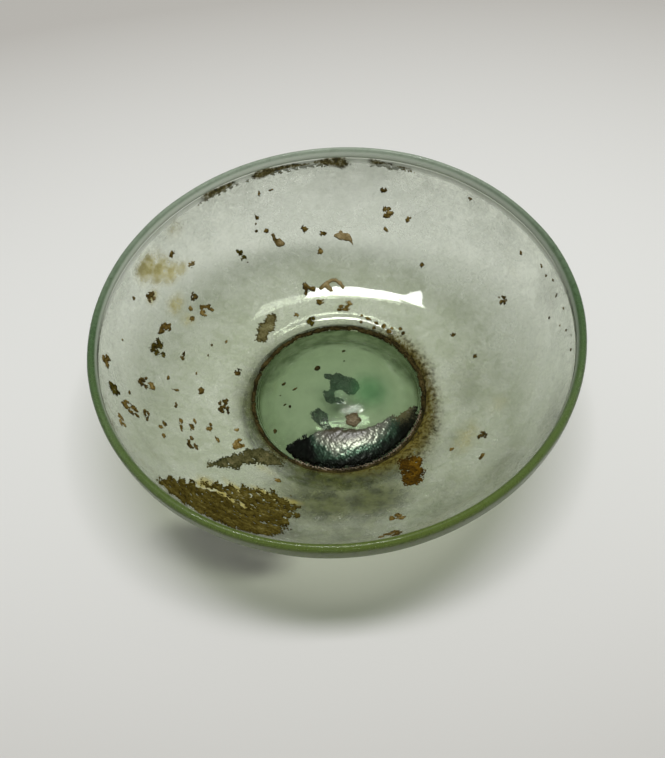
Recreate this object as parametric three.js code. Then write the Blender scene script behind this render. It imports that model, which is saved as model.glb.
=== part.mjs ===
// A blown glass bowl on a hollow ring foot. Millimetres, +Z up, standing on z = 0 under its middle.
// The whole bowl was one hot bubble. It is divided here where the glass was folded or pinched: the
// wall, the collar folded out of the rim, the tubular foot, and the floor pushed up inside the foot.
// The wads left by the glassmaker's rod hang under the floor, and the earth of its burial lies on it.

import * as THREE from 'three';

// Driving dimensions of the bowl
const rimRadius = 100; // outside of the collar
const bowlHeight = 65; // from the table to the lip, halfway along its tilt
const rimTilt = 2.1; // how far the lip rises towards +X and falls towards -X

// The collar, a rim folded outwards and down
const collarWidth = 3.8; // from the inside of the lip to the outside of the flap
const collarHeight = 7.4; // from the lip down to the edge of the flap
const lipThickness = 2.2; // solid glass over the top of the fold
const lipDepth = 4; // how far the collar's inner leg reaches down inside the bowl
const flapThickness = 1.25;
const flapTurnIn = 0.35; // how far the flap's edge leans towards the wall

// The wall
const rimWallThickness = 1.5; // where it runs up into the fold
const footWallThickness = 2.4; // where it sits on the foot

// The foot, a tube of glass pushed out round the base and open inwards at a narrow groove
const footRadius = 43.5;
const footWidth = 8.2;
const footHeight = 8;
const footTubeThickness = 1.6;
const footWear = 0.5; // how much of the round tube is missing where it is worn or pressed flat
const grooveShift = 1.3; // how far the groove lies inside the middle of the tube
const grooveWidth = 1.6;

// The floor, a low dome inside the foot
const floorCrown = 18.6; // top of the dome, above the table
const floorThickness = 2;

// Clearances
const seamGap = 0.3; // between two pieces of glass
const depositGap = 0.3; // between the glass and what lies on it

// Fineness of the surfaces
const rimTurns = 64; // flats round the wall and the collar
const footTurns = 48; // flats round the foot, the floor and the groove
const wallSteps = 14;
const footSteps = 18;
const footHollowSteps = 10;
const floorSteps = 8;
const lipSteps = 6;
const edgeSteps = 3;

const degree = Math.PI / 180;
const { lerp } = THREE.MathUtils;

// Sizes that follow from the driving ones
const rimInside = rimRadius - collarWidth;
const foldInside = rimInside + rimWallThickness;
const foldOutside = rimRadius - flapThickness;
const foldGap = foldOutside - foldInside;
const collarSeam = bowlHeight - lipDepth;
const flapBottom = bowlHeight - collarHeight;
const footHalfWidth = footWidth / 2;
const footHalfHeight = footHeight / 2 + footWear;
const footMiddleRadius = footRadius - footHalfWidth;
const footMiddleHeight = footHeight / 2;
const grooveRadius = footMiddleRadius - grooveShift;
const grooveInside = grooveRadius - grooveWidth / 2;
const grooveOutside = grooveRadius + grooveWidth / 2;
const wallSeat = footHeight + seamGap;

// Glass and earth

function glass(color, opacity) {
  const roughness = 0.08;
  return new THREE.MeshStandardMaterial({ color, roughness, metalness: 0, transparent: true, opacity });
}

function earth(color, roughness) {
  return new THREE.MeshStandardMaterial({ color, roughness, metalness: 0 });
}

const wallGlass = glass(0xc3cfbe, 0.35);
const collarGlass = glass(0x8fae93, 0.55);
const footGlass = glass(0x9db89c, 0.5);
const floorGlass = glass(0x7fae90, 0.5);
const pontilGlass = glass(0x1f5a3c, 0.85);
const brownSoil = earth(0x7a5a34, 0.95);
const oliveSoil = earth(0x6b5f2c, 0.9);
const grooveEarth = earth(0x4e3d28, 1);
const silverCrust = earth(0x6d7580, 0.45);

// The bowl leans: every height is lifted or lowered with x, most at the lip and not at all at the foot.
function lean(geometry) {
  const position = geometry.getAttribute('position');
  for (let i = 0; i < position.count; i += 1) {
    const heightShare = position.getZ(i) / bowlHeight;
    const sideShare = position.getX(i) / rimRadius;
    position.setZ(i, position.getZ(i) + rimTilt * sideShare * heightShare * heightShare);
  }
  geometry.computeVertexNormals();
  return geometry;
}

// Turns a section, a list of points (radius, height) that runs up the outside and down the inside.
function turned(section, turns) {
  const geometry = new THREE.LatheGeometry(section, turns);
  geometry.rotateX(Math.PI / 2);
  return lean(geometry);
}

function closed(section) {
  return [...section, section[0].clone()];
}

// Points on an ellipse about (radius, height), from one angle to another.
function arc(radius, height, halfWidth, halfHeight, from, to, steps) {
  const points = [];
  for (let i = 0; i <= steps; i += 1) {
    const angle = lerp(from, to, i / steps);
    const across = halfWidth * Math.cos(angle);
    points.push(new THREE.Vector2(radius + across, height + halfHeight * Math.sin(angle)));
  }
  return points;
}

const parts = new THREE.Group();

function add(name, geometry, material) {
  const mesh = new THREE.Mesh(geometry, material);
  mesh.name = name;
  parts.add(mesh);
}

// Wall. Its inner face runs from the groove to the collar. Each point is a share of the way outwards
// and a share of the way upwards: a rounded shoulder at the groove, a nearly flat bottom, a steep side.
const wallFaceShares = [
  [0, 0],
  [0.012, 0.03],
  [0.045, 0.055],
  [0.106, 0.072],
  [0.176, 0.086],
  [0.264, 0.11],
  [0.368, 0.156],
  [0.543, 0.265],
  [0.717, 0.423],
  [0.857, 0.608],
  [0.951, 0.802],
  [0.991, 0.945],
  [1, 1],
];
const wallFace = new THREE.SplineCurve(
  wallFaceShares.map(
    ([out, up]) => new THREE.Vector2(lerp(grooveOutside, rimInside, out), lerp(wallSeat, collarSeam, up)),
  ),
);
const wallStepPower = 1.3; // steps are shorter near the foot, where the wall bends most
const neckShare = 0.08; // where the outer face leaves the neck over the foot
const neckSeatShare = 0.6; // of the foot's outer half, the part that the wall sits on
const neckRadius = lerp(grooveOutside, footRadius, neckSeatShare);

function wallThickness(share) {
  return lerp(footWallThickness, rimWallThickness, share);
}

// Radius and height of a point over the wall's inner face, at a share of the way up it.
// A negative lift goes into the glass and out behind it.
function overWall(share, lift) {
  const point = wallFace.getPointAt(share);
  const along = wallFace.getTangentAt(share);
  return new THREE.Vector2(point.x - along.y * lift, point.y + along.x * lift);
}

function wallSection() {
  const shares = [];
  for (let i = wallSteps; i >= 0; i -= 1) {
    shares.push((i / wallSteps) ** wallStepPower);
  }
  const inner = shares.map((share) => overWall(share, 0));
  inner[0].set(rimInside, collarSeam);
  inner[inner.length - 1].set(grooveOutside, wallSeat);
  const outerShares = shares.filter((share) => share > neckShare);
  const outer = outerShares.map((share) => overWall(share, -wallThickness(share)));
  outer[0].set(foldInside, collarSeam);
  return [new THREE.Vector2(neckRadius, wallSeat), ...outer.reverse(), ...inner];
}

add('bowl_wall', turned(closed(wallSection()), rimTurns), wallGlass);

// Collar: up the inner leg, over the lip, down the flap, round its edge and back through the fold.
function collarSection() {
  const lipHalf = collarWidth / 2;
  const lipFoot = bowlHeight - lipThickness;
  const lip = arc(rimRadius - lipHalf, lipFoot, lipHalf, lipThickness, 0, Math.PI, lipSteps);
  const edgeHalf = flapThickness / 2;
  const edgeRadius = rimRadius - edgeHalf - flapTurnIn;
  const edge = arc(edgeRadius, flapBottom + edgeHalf, edgeHalf, edgeHalf, -Math.PI, 0, edgeSteps);
  const foldHalf = foldGap / 2;
  const fold = arc(foldInside + foldHalf, lipFoot - foldHalf, foldHalf, foldHalf, Math.PI, 0, edgeSteps);
  const leg = collarSeam + seamGap;
  return [...edge, ...lip, new THREE.Vector2(rimInside, leg), new THREE.Vector2(foldInside, leg), ...fold];
}

add('rim_collar', turned(closed(collarSection()), rimTurns), collarGlass);

// Foot: a tube whose round section is pressed flat above and worn flat below, and is slit at the groove.
function footAngle(radius, halfWidth) {
  return Math.acos((radius - footMiddleRadius) / halfWidth);
}

function footSection() {
  const fullTurn = 2 * Math.PI;
  const outside = arc(
    footMiddleRadius,
    footMiddleHeight,
    footHalfWidth,
    footHalfHeight,
    footAngle(grooveInside, footHalfWidth) - fullTurn,
    footAngle(grooveOutside, footHalfWidth),
    footSteps,
  );
  outside.forEach((point) => point.setY(THREE.MathUtils.clamp(point.y, 0, footHeight)));
  const hollowHalfWidth = footHalfWidth - footTubeThickness;
  const hollow = arc(
    footMiddleRadius,
    footMiddleHeight,
    hollowHalfWidth,
    footMiddleHeight - footTubeThickness,
    footAngle(grooveOutside, hollowHalfWidth),
    footAngle(grooveInside, hollowHalfWidth) - fullTurn,
    footHollowSteps,
  );
  return [...outside, ...hollow];
}

add('foot_ring', turned(closed(footSection()), footTurns), footGlass);

// Floor: a dome that is flat at its crown and steepens to the groove. Its edge is cut to the shape of
// the foot's tube, one seam away from it.
const floorCurve = 2.8; // power of the fall from the crown
const floorEdge = grooveInside - seamGap;
const seatHalfWidth = footHalfWidth + seamGap;
const seatHalfHeight = footHalfHeight + seamGap;
const floorSeatStart = footAngle(floorEdge, seatHalfWidth);
const floorSeatEnd = 151 * degree;
const floorFall = floorCrown - footMiddleHeight - seatHalfHeight * Math.sin(floorSeatStart);

function floorHeight(radius) {
  return floorCrown - floorFall * (radius / floorEdge) ** floorCurve;
}

function floorSlope(radius) {
  return (-floorFall * floorCurve * (radius / floorEdge) ** (floorCurve - 1)) / floorEdge;
}

function floorUnderHeight(radius) {
  return floorHeight(radius) - floorThickness * Math.hypot(1, floorSlope(radius));
}

// Radius and height of a point over the floor's upper face. A negative lift goes through it.
function overFloor(radius, lift) {
  const slope = floorSlope(radius);
  const length = Math.hypot(1, slope);
  return new THREE.Vector2(radius - (slope / length) * lift, floorHeight(radius) + lift / length);
}

function floorSection() {
  const seat = arc(
    footMiddleRadius,
    footMiddleHeight,
    seatHalfWidth,
    seatHalfHeight,
    floorSeatEnd,
    floorSeatStart,
    edgeSteps,
  );
  const upper = [];
  const under = [];
  for (let i = 0; i < floorSteps; i += 1) {
    const upperRadius = floorEdge * (i / floorSteps);
    const underRadius = seat[0].x * (i / floorSteps);
    upper.unshift(new THREE.Vector2(upperRadius, floorHeight(upperRadius)));
    under.push(new THREE.Vector2(underRadius, floorUnderHeight(underRadius)));
  }
  return [...under, ...seat, ...upper];
}

add('floor_dome', turned(floorSection(), footTurns), floorGlass);

// Deposits. Each is a thin crust, thickest in the middle, with a ragged edge. Its outline is a list of
// places (u, v) on a face, and face.over(u, v, lift) gives the point that lies lift above such a place.
// On a left-handed face the directions of u, v and lift are like the thumb, first and second finger of
// a left hand, so its outlines run clockwise.
const edgeThicknessShare = 0.3; // of the thickness in the middle
const edgeFallPower = 4;

// The middle of the area inside an outline. From there the whole outline can be seen, unless a deposit
// names a middlePlace of its own.
function middleOf(outline) {
  const middle = [0, 0];
  let doubleArea = 0;
  outline.forEach(([u, v], i) => {
    const [nextU, nextV] = outline[(i + 1) % outline.length];
    const cross = u * nextV - nextU * v;
    doubleArea += cross;
    middle[0] += (u + nextU) * cross;
    middle[1] += (v + nextV) * cross;
  });
  return middle.map((sum) => sum / (3 * doubleArea));
}

function deposit(drawn, { thickness, gap, rings, middlePlace }, { over, leftHanded }) {
  const clockwise = THREE.ShapeUtils.isClockWise(drawn.map(([u, v]) => new THREE.Vector2(u, v)));
  const outline = clockwise === leftHanded ? drawn : [...drawn].reverse();
  const count = outline.length;
  const middle = middlePlace ?? middleOf(outline);
  const upper = [];
  const lower = [];
  for (let ring = 1; ring <= rings; ring += 1) {
    const outShare = ring / rings;
    const lift = gap + thickness * lerp(1, edgeThicknessShare, outShare ** edgeFallPower);
    const places = outline.map(([u, v]) => [lerp(middle[0], u, outShare), lerp(middle[1], v, outShare)]);
    upper.push(places.map(([u, v]) => over(u, v, lift)));
    lower.unshift(places.map(([u, v]) => over(u, v, gap)));
  }
  const rows = [...upper, ...lower];
  const vertices = [over(...middle, gap + thickness), ...rows.flat(), over(...middle, gap)];
  const last = vertices.length - 1;
  const index = [];
  for (let i = 0; i < count; i += 1) {
    const next = (i + 1) % count;
    index.push(0, 1 + i, 1 + next);
    for (let row = 0; row < rows.length - 1; row += 1) {
      const here = 1 + row * count;
      const below = here + count;
      index.push(here + i, below + i, below + next);
      index.push(here + i, below + next, here + next);
    }
    const bottom = 1 + (rows.length - 1) * count;
    index.push(bottom + i, last, bottom + next);
  }
  const geometry = new THREE.BufferGeometry().setFromPoints(vertices);
  geometry.setIndex(index);
  return lean(geometry);
}

function around({ x: radius, y: height }, azimuth) {
  return new THREE.Vector3(radius * Math.cos(azimuth), radius * Math.sin(azimuth), height);
}

// The faces that deposits lie on. On the wall a place is an azimuth in degrees, counted from +X, and a
// share of the way from the groove to the collar. On the floor it is x and y.
const wallInside = {
  over: (azimuth, share, lift) => around(overWall(share, lift), azimuth * degree),
  leftHanded: true,
};
const wallInFold = {
  over: (azimuth, share, lift) => around(overWall(share, -wallThickness(share) - lift), azimuth * degree),
  leftHanded: false,
};
const floorTop = {
  over: (x, y, lift) => around(overFloor(Math.hypot(x, y), lift), Math.atan2(y, x)),
  leftHanded: false,
};
const floorUnderside = {
  over: (x, y, lift) => around(overFloor(Math.hypot(x, y), -floorThickness - lift), Math.atan2(y, x)),
  leftHanded: true,
};

// A smooth closed outline through places chosen by hand.
function smoothOutline(places, pointsPerPlace) {
  const curve = new THREE.CatmullRomCurve3(places.map(([u, v]) => new THREE.Vector3(u, v, 0)), true);
  const points = curve.getPoints(places.length * pointsPerPlace).slice(1);
  return points.map((point) => [point.x, point.y]);
}

// Ripples that make a round outline ragged, each with its count round the edge and its depth.
const rippleShares = [
  { count: 2, depthShare: 0.14 },
  { count: 3, depthShare: 0.12 },
  { count: 5, depthShare: 0.08 },
];

function raggedOval(middle, halfLength, halfHeight, seed, steps) {
  return Array.from({ length: steps }, (_, i) => {
    const angle = (2 * Math.PI * i) / steps;
    let reach = 1;
    for (const { count, depthShare } of rippleShares) {
      reach += depthShare * Math.cos(count * (angle + seed));
    }
    return [
      middle[0] + halfLength * reach * Math.cos(angle),
      middle[1] + halfHeight * reach * Math.sin(angle),
    ];
  });
}

// Sheets and patches of earth on the wall. Each place is an azimuth and a share of the way up the wall.
const sheetCrust = { thickness: 0.8, gap: depositGap, rings: 5 };
const patchCrust = { thickness: 0.6, gap: depositGap, rings: 3 };
const wallPatches = {
  soil_sheet_near_left: {
    material: oliveSoil,
    crust: sheetCrust,
    pointsPerPlace: 2,
    placeShares: [
      [219, 0.82],
      [217, 0.69],
      [219, 0.56],
      [222, 0.45],
      [228, 0.34],
      [236, 0.27],
      [244, 0.26],
      [251, 0.32],
      [251, 0.46],
      [250, 0.6],
      [244, 0.7],
      [237, 0.74],
      [230, 0.78],
      [224, 0.82],
    ],
  },
  soil_streak_near_left: {
    material: brownSoil,
    crust: patchCrust,
    pointsPerPlace: 1,
    placeShares: [
      [214, 0.4],
      [212, 0.34],
      [213, 0.27],
      [214, 0.2],
      [215, 0.13],
      [220, 0.09],
      [228, 0.1],
      [228, 0.15],
      [222, 0.22],
      [219, 0.3],
      [217, 0.36],
    ],
  },
  soil_patch_near_right: {
    material: brownSoil,
    crust: patchCrust,
    pointsPerPlace: 1,
    placeShares: [
      [303, 0.09],
      [309, 0.1],
      [312, 0.15],
      [308, 0.21],
      [303, 0.26],
      [298, 0.26],
      [297, 0.2],
      [299, 0.14],
    ],
  },
  soil_patch_far_left: {
    material: brownSoil,
    crust: patchCrust,
    pointsPerPlace: 1,
    placeShares: [
      [121, 0.19],
      [122, 0.15],
      [127, 0.11],
      [134, 0.09],
      [140, 0.1],
      [138, 0.14],
      [134, 0.17],
      [127, 0.19],
    ],
  },
};

for (const [name, patch] of Object.entries(wallPatches)) {
  const outline = smoothOutline(patch.placeShares, patch.pointsPerPlace);
  add(name, deposit(outline, patch.crust, wallInside), patch.material);
}

// Flecks of earth on the wall: azimuth, share of the way up, then length round the wall and height up
// it as shares of the rim's radius.
const fleckCrust = { thickness: 0.5, gap: depositGap, rings: 2 };
const fleckSteps = 10;
const fleckShares = {
  far: [
    [70.5, 0.693, 0.046, 0.055],
    [84.5, 0.535, 0.095, 0.06],
    [107, 0.567, 0.05, 0.074],
    [120.5, 0.575, 0.035, 0.055],
  ],
  middle: [
    [83.5, 0.13, 0.076, 0.05],
    [89.5, 0.261, 0.105, 0.045],
    [100.5, 0.262, 0.058, 0.065],
    [104, 0.1, 0.036, 0.052],
  ],
  left: [
    [143.5, 0.444, 0.072, 0.06],
    [154.5, 0.743, 0.052, 0.056],
    [159, 0.572, 0.088, 0.05],
    [167, 0.562, 0.08, 0.08],
    [181.5, 0.9, 0.07, 0.075],
    [181, 0.637, 0.064, 0.062],
    [185, 0.171, 0.085, 0.052],
    [189, 0.834, 0.057, 0.066],
    [192.5, 0.727, 0.057, 0.098],
    [203, 0.408, 0.075, 0.05],
    [208.5, 0.169, 0.058, 0.064],
  ],
  right: [
    [21.5, 0.598, 0.052, 0.042],
    [331.5, 0.385, 0.043, 0.04],
  ],
  near: [
    [286, 0.438, 0.06, 0.052],
    [281, 0.604, 0.085, 0.05],
  ],
};

for (const [side, flecks] of Object.entries(fleckShares)) {
  flecks.forEach(([azimuth, share, lengthShare, heightShare], i) => {
    const halfTurn = (rimRadius * lengthShare) / 2 / overWall(share, 0).x / degree;
    const halfRise = (rimRadius * heightShare) / 2 / wallFace.getLength();
    const outline = raggedOval([azimuth, share], halfTurn, halfRise, azimuth, fleckSteps);
    add(`soil_fleck_${side}_${i + 1}`, deposit(outline, fleckCrust, wallInside), brownSoil);
  });
}

// Earth trapped in the fold of the rim, seen through the wall on the far side.
const foldSoilSpans = {
  rim_soil_left: { from: 114, to: 126, steps: 4 },
  rim_soil_middle: { from: 82, to: 111, steps: 10 },
  rim_soil_right: { from: 65, to: 77, steps: 4 },
};
const foldSoilLowShare = 0.955;
const foldSoilHighShare = 0.99;
const foldSoilThicknessShare = 0.4; // of the fold's gap
const foldSoilGapShare = 0.3;
const foldCrust = {
  thickness: foldGap * foldSoilThicknessShare,
  gap: foldGap * foldSoilGapShare,
  rings: 4,
};

// A band between two azimuths: its lower edge there and its upper edge back.
function bandOutline({ from, to, steps }, low, high) {
  const azimuths = Array.from({ length: steps + 1 }, (_, i) => lerp(from, to, i / steps));
  const lowEdge = azimuths.map((azimuth) => [azimuth, low]);
  const highEdge = azimuths.map((azimuth) => [azimuth, high]);
  return [...lowEdge, ...highEdge.reverse()];
}

for (const [name, span] of Object.entries(foldSoilSpans)) {
  const outline = bandOutline(span, foldSoilLowShare, foldSoilHighShare);
  add(name, deposit(outline, foldCrust, wallInFold), oliveSoil);
}

// Earth packed in the groove round the floor. Each point is a share of the groove's width, counted from
// its middle, and a share of the foot's height.
const grooveSoilShares = [
  [-0.22, 0.84],
  [0.22, 0.84],
  [0.26, 1],
  [0.4, 1.12],
  [0.15, 1.17],
  [-0.4, 1.16],
  [-0.75, 1.09],
  [-0.28, 1.01],
];
const grooveSoilSection = grooveSoilShares.map(
  ([across, up]) => new THREE.Vector2(grooveRadius + grooveWidth * across, footHeight * up),
);
add('groove_soil', turned(closed(grooveSoilSection), footTurns), grooveEarth);

// The silvery crust over the near right of the floor: azimuth and share of the floor's radius.
const crustMiddleShare = [294, 0.85];
const crustPlaceShares = [
  [228, 0.94],
  [229, 0.84],
  [235, 0.75],
  [247, 0.63],
  [260, 0.57],
  [278, 0.58],
  [296, 0.64],
  [310, 0.68],
  [322, 0.72],
  [334, 0.82],
  [345, 0.95],
  [334, 0.965],
  [322, 0.965],
  [308, 0.965],
  [294, 0.965],
  [280, 0.965],
  [266, 0.965],
  [252, 0.965],
  [239, 0.965],
];

function floorPlace([azimuth, share]) {
  return [floorEdge * share * Math.cos(azimuth * degree), floorEdge * share * Math.sin(azimuth * degree)];
}

const crustOutline = smoothOutline(crustPlaceShares.map(floorPlace), 1);
const floorCrust = { thickness: 0.7, gap: depositGap, rings: 6, middlePlace: floorPlace(crustMiddleShare) };
add('floor_crust', deposit(crustOutline, floorCrust, floorTop), silverCrust);

// A reddish blistered spot on the floor, in front of its crown.
const spotRadius = 3;
const spotPlaceShare = [285, 0.5];
const spotOutline = raggedOval(floorPlace(spotPlaceShare), spotRadius, spotRadius, 1, fleckSteps);
add('floor_spot', deposit(spotOutline, fleckCrust, floorTop), brownSoil);

// The glassmaker's rod left two wads of thick glass under the floor: a broken ring at the crown and a
// drop beside it.
const pontilRadius = 6.6;
const pontilWad = { thickness: 3, gap: seamGap, rings: 3 };
const dropHalfLength = 4.6;
const dropHalfWidth = 3.7;
const dropWad = { thickness: 2.2, gap: seamGap, rings: 3 };
const pontilPlaceShare = [270, 0.05];
const dropPlaceShare = [240, 0.48];
const wadSteps = 14;
const pontilOutline = raggedOval(floorPlace(pontilPlaceShare), pontilRadius, pontilRadius, 2, wadSteps);
const dropOutline = raggedOval(floorPlace(dropPlaceShare), dropHalfWidth, dropHalfLength, 4, wadSteps);
add('pontil_scar', deposit(pontilOutline, pontilWad, floorUnderside), pontilGlass);
add('pontil_drop', deposit(dropOutline, dropWad, floorUnderside), pontilGlass);

export default parts;
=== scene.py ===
# A blown glass bowl on a hollow ring foot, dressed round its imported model.
# Lengths in the dictionaries are millimetres and angles are degrees, counted from +X.

import math

import bpy
import numpy as np
from mathutils import Matrix, Vector


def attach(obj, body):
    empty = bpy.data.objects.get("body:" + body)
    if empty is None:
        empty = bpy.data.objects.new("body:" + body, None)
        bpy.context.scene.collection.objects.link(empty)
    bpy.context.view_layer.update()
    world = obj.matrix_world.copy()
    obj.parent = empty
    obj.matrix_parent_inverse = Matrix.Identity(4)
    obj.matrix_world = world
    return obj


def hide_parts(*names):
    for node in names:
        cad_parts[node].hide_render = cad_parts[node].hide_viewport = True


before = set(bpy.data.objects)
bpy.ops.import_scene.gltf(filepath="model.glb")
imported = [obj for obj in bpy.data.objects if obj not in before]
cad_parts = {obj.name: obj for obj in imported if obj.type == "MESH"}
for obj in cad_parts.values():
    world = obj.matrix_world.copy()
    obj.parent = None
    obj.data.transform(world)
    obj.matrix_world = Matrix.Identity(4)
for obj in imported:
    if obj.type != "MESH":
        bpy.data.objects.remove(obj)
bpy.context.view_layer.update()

millimetre = 0.001


# Camera

view = {
    "lookAt": (-2.13, 0.0, 22.83),
    "elevation": 56.1,
    "distance": 436.0,
    "roll": -3.86,
    "focalPixels": 1000.0,  # focal length in pixels of the picture
    "longSidePixels": 758.0,
    "sensor": 36.0,
    "clip": (0.01, 50.0),  # metres
}


def placed(place, x, y, z):
    # A place and the directions of three axes as one matrix.
    return Matrix.Translation(place) @ Matrix((x, y, z)).transposed().to_4x4()


def makeCamera():
    # The camera looks along +Y and down, turned a little about its own line of sight.
    tilt = math.radians(view["elevation"])
    roll = math.radians(view["roll"])
    forward = Vector((0, math.cos(tilt), -math.sin(tilt)))
    right = Vector((1, 0, 0))
    up = right.cross(forward)
    across = right * math.cos(roll) + up * math.sin(roll)
    along = up * math.cos(roll) - right * math.sin(roll)
    data = bpy.data.cameras.new("view")
    data.sensor_width = view["sensor"]
    data.lens = view["focalPixels"] * view["sensor"] / view["longSidePixels"]
    data.clip_start, data.clip_end = view["clip"]
    camera = bpy.data.objects.new("view", data)
    place = (Vector(view["lookAt"]) - forward * view["distance"]) * millimetre
    camera.matrix_world = placed(place, across, along, -forward)
    bpy.context.collection.objects.link(camera)
    bpy.context.scene.camera = camera


makeCamera()
bpy.context.scene.view_settings.view_transform = "Standard"

# Lamps shine through the glass by its shadow colour alone, so the light isn't counted twice.
bpy.context.scene.cycles.caustics_refractive = False
bpy.context.scene.cycles.caustics_reflective = False


# Colours, values and finishes


def paint(code):
    # A colour written as six hexadecimal digits, turned to the linear values that the shaders use.
    shares = [int(code[i : i + 2], 16) / 255 for i in (0, 2, 4)]
    linear = [s / 12.92 if s <= 0.04045 else ((s + 0.055) / 1.055) ** 2.4 for s in shares]
    return (*linear, 1.0)


class Value:
    # The output of a node. Sums, differences and products of it add Math nodes.
    def __init__(self, finish, socket):
        self.finish = finish
        self.socket = socket

    def __add__(self, other):
        return self.finish.maths("ADD", self, other)

    __radd__ = __add__

    def __sub__(self, other):
        return self.finish.maths("SUBTRACT", self, other)

    def __rsub__(self, other):
        return self.finish.maths("SUBTRACT", other, self)

    def __mul__(self, other):
        return self.finish.maths("MULTIPLY", self, other)

    __rmul__ = __mul__


class Finish:
    # A material with its tree of nodes.
    def __init__(self, name):
        self.material = bpy.data.materials.new(name)
        self.material.use_nodes = True
        self.tree = self.material.node_tree
        self.tree.nodes.clear()

    def node(self, kind, settings=None, sockets=None, output=0):
        # Settings first, a ramp's stops among them, then a number, a colour or a Value for each socket.
        made = self.tree.nodes.new(kind)
        for key, setting in (settings or {}).items():
            if key == "stops":
                stops = made.color_ramp.elements
                while len(stops) < len(setting):
                    stops.new(1.0)
                for stop, (position, colour) in zip(stops, setting):
                    stop.position = position
                    stop.color = colour
            else:
                setattr(made, key, setting)
        for key, value in (sockets or {}).items():
            if isinstance(value, Value):
                self.tree.links.new(value.socket, made.inputs[key])
            else:
                made.inputs[key].default_value = value
        return Value(self, made.outputs[output])

    def maths(self, operation, *values):
        return self.node("ShaderNodeMath", {"operation": operation}, dict(enumerate(values)))

    def between(self, value, low, high):
        # 0 below low, 1 above high and a smooth step between them.
        sockets = {"Value": value, "From Min": low, "From Max": high}
        return self.node("ShaderNodeMapRange", {"interpolation_type": "SMOOTHSTEP"}, sockets)

    def place(self):
        return self.node("ShaderNodeTexCoord", output="Object")

    def attribute(self, name, output="Fac"):
        return self.node("ShaderNodeAttribute", {"attribute_name": name}, output=output)

    def ray(self, kind):
        return self.node("ShaderNodeLightPath", output=kind)

    def noise(self, place, wavelength, detail, roughness, distortion=0.0):
        # Clouds of about one wavelength, in millimetres where place is in metres.
        sockets = {
            "Vector": place,
            "Scale": 1 / (wavelength * millimetre),
            "Detail": detail,
            "Roughness": roughness,
            "Distortion": distortion,
        }
        return self.node("ShaderNodeTexNoise", None, sockets)

    def ramp(self, value, codes, start=0.0, end=1.0):
        # Colours at even steps from one value to another.
        step = (end - start) / (len(codes) - 1)
        stops = [(start + step * i, paint(code)) for i, code in enumerate(codes)]
        return self.node("ShaderNodeValToRGB", {"stops": stops}, {"Fac": value})

    def blend(self, share, first, second):
        sockets = {0: share, 6: first, 7: second}
        return self.node("ShaderNodeMix", {"data_type": "RGBA"}, sockets, output=2)

    def bump(self, height, strength, distance, under=None):
        sockets = {"Height": height, "Strength": strength, "Distance": distance * millimetre}
        if under:
            sockets["Normal"] = under
        return self.node("ShaderNodeBump", None, sockets)

    def principled(self, **sockets):
        # Words of a socket's name are joined by underscores.
        named = {key.replace("_", " "): value for key, value in sockets.items()}
        return self.node("ShaderNodeBsdfPrincipled", None, named)

    def transparent(self, colour):
        return self.node("ShaderNodeBsdfTransparent", None, {"Color": colour})

    def mixShaders(self, share, first, second):
        return self.node("ShaderNodeMixShader", None, {0: share, 1: first, 2: second})

    def done(self, surface, volume=None):
        sockets = {"Surface": surface}
        if volume:
            sockets["Volume"] = volume
        output = self.tree.nodes.new("ShaderNodeOutputMaterial")
        for key, value in sockets.items():
            self.tree.links.new(value.socket, output.inputs[key])
        return self.material


# Floor, lamps and the room

studio = {
    "floorSize": 8000.0,
    "floorColour": "e6e6e2",
    "farColour": "bab7b1",  # the same paper where less light falls
    "floorRoughness": 0.9,
    "brightest": (0.0, 38.0),
    "fade": (520.0, 265.0),
    "roomColour": "b9bbbb",
    "roomStrength": 0.45,
}

lamps = {
    # direction as x and y for a height of 1, height, width and depth of the lit face, turn, watts
    "ceiling": ((0.085, 0.035), 3000, 1800, 480, 0, 72),
    "panel": ((-0.405, 0.018), 1250, 270, 150, -5, 2.95),
    "panelEnd": ((-0.1, 0.026), 1250, 492, 225, -5, 8.06),
    "floorPanel": ((0.15, 0.3), 1250, 340, 60, 12, 2.6),
    "crustPanel": ((0.15, -0.3), 1250, 420, 320, 0, 9.5),
}


def addLamp(name):
    # A lit rectangle that faces the bowl's foot, its width turned from +X.
    direction, height, width, depth, turn, watts = lamps[name]
    away = Vector((*direction, 1.0))
    place = away * height * millimetre
    away.normalize()
    wide = Vector((math.cos(math.radians(turn)), math.sin(math.radians(turn)), 0))
    wide = (wide - away * wide.dot(away)).normalized()
    data = bpy.data.lights.new(name, "AREA")
    data.shape = "RECTANGLE"
    data.size = width * millimetre
    data.size_y = depth * millimetre
    data.energy = watts
    lamp = bpy.data.objects.new(name, data)
    lamp.matrix_world = placed(place, wide, away.cross(wide), away)
    bpy.context.collection.objects.link(lamp)
    return lamp


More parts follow.
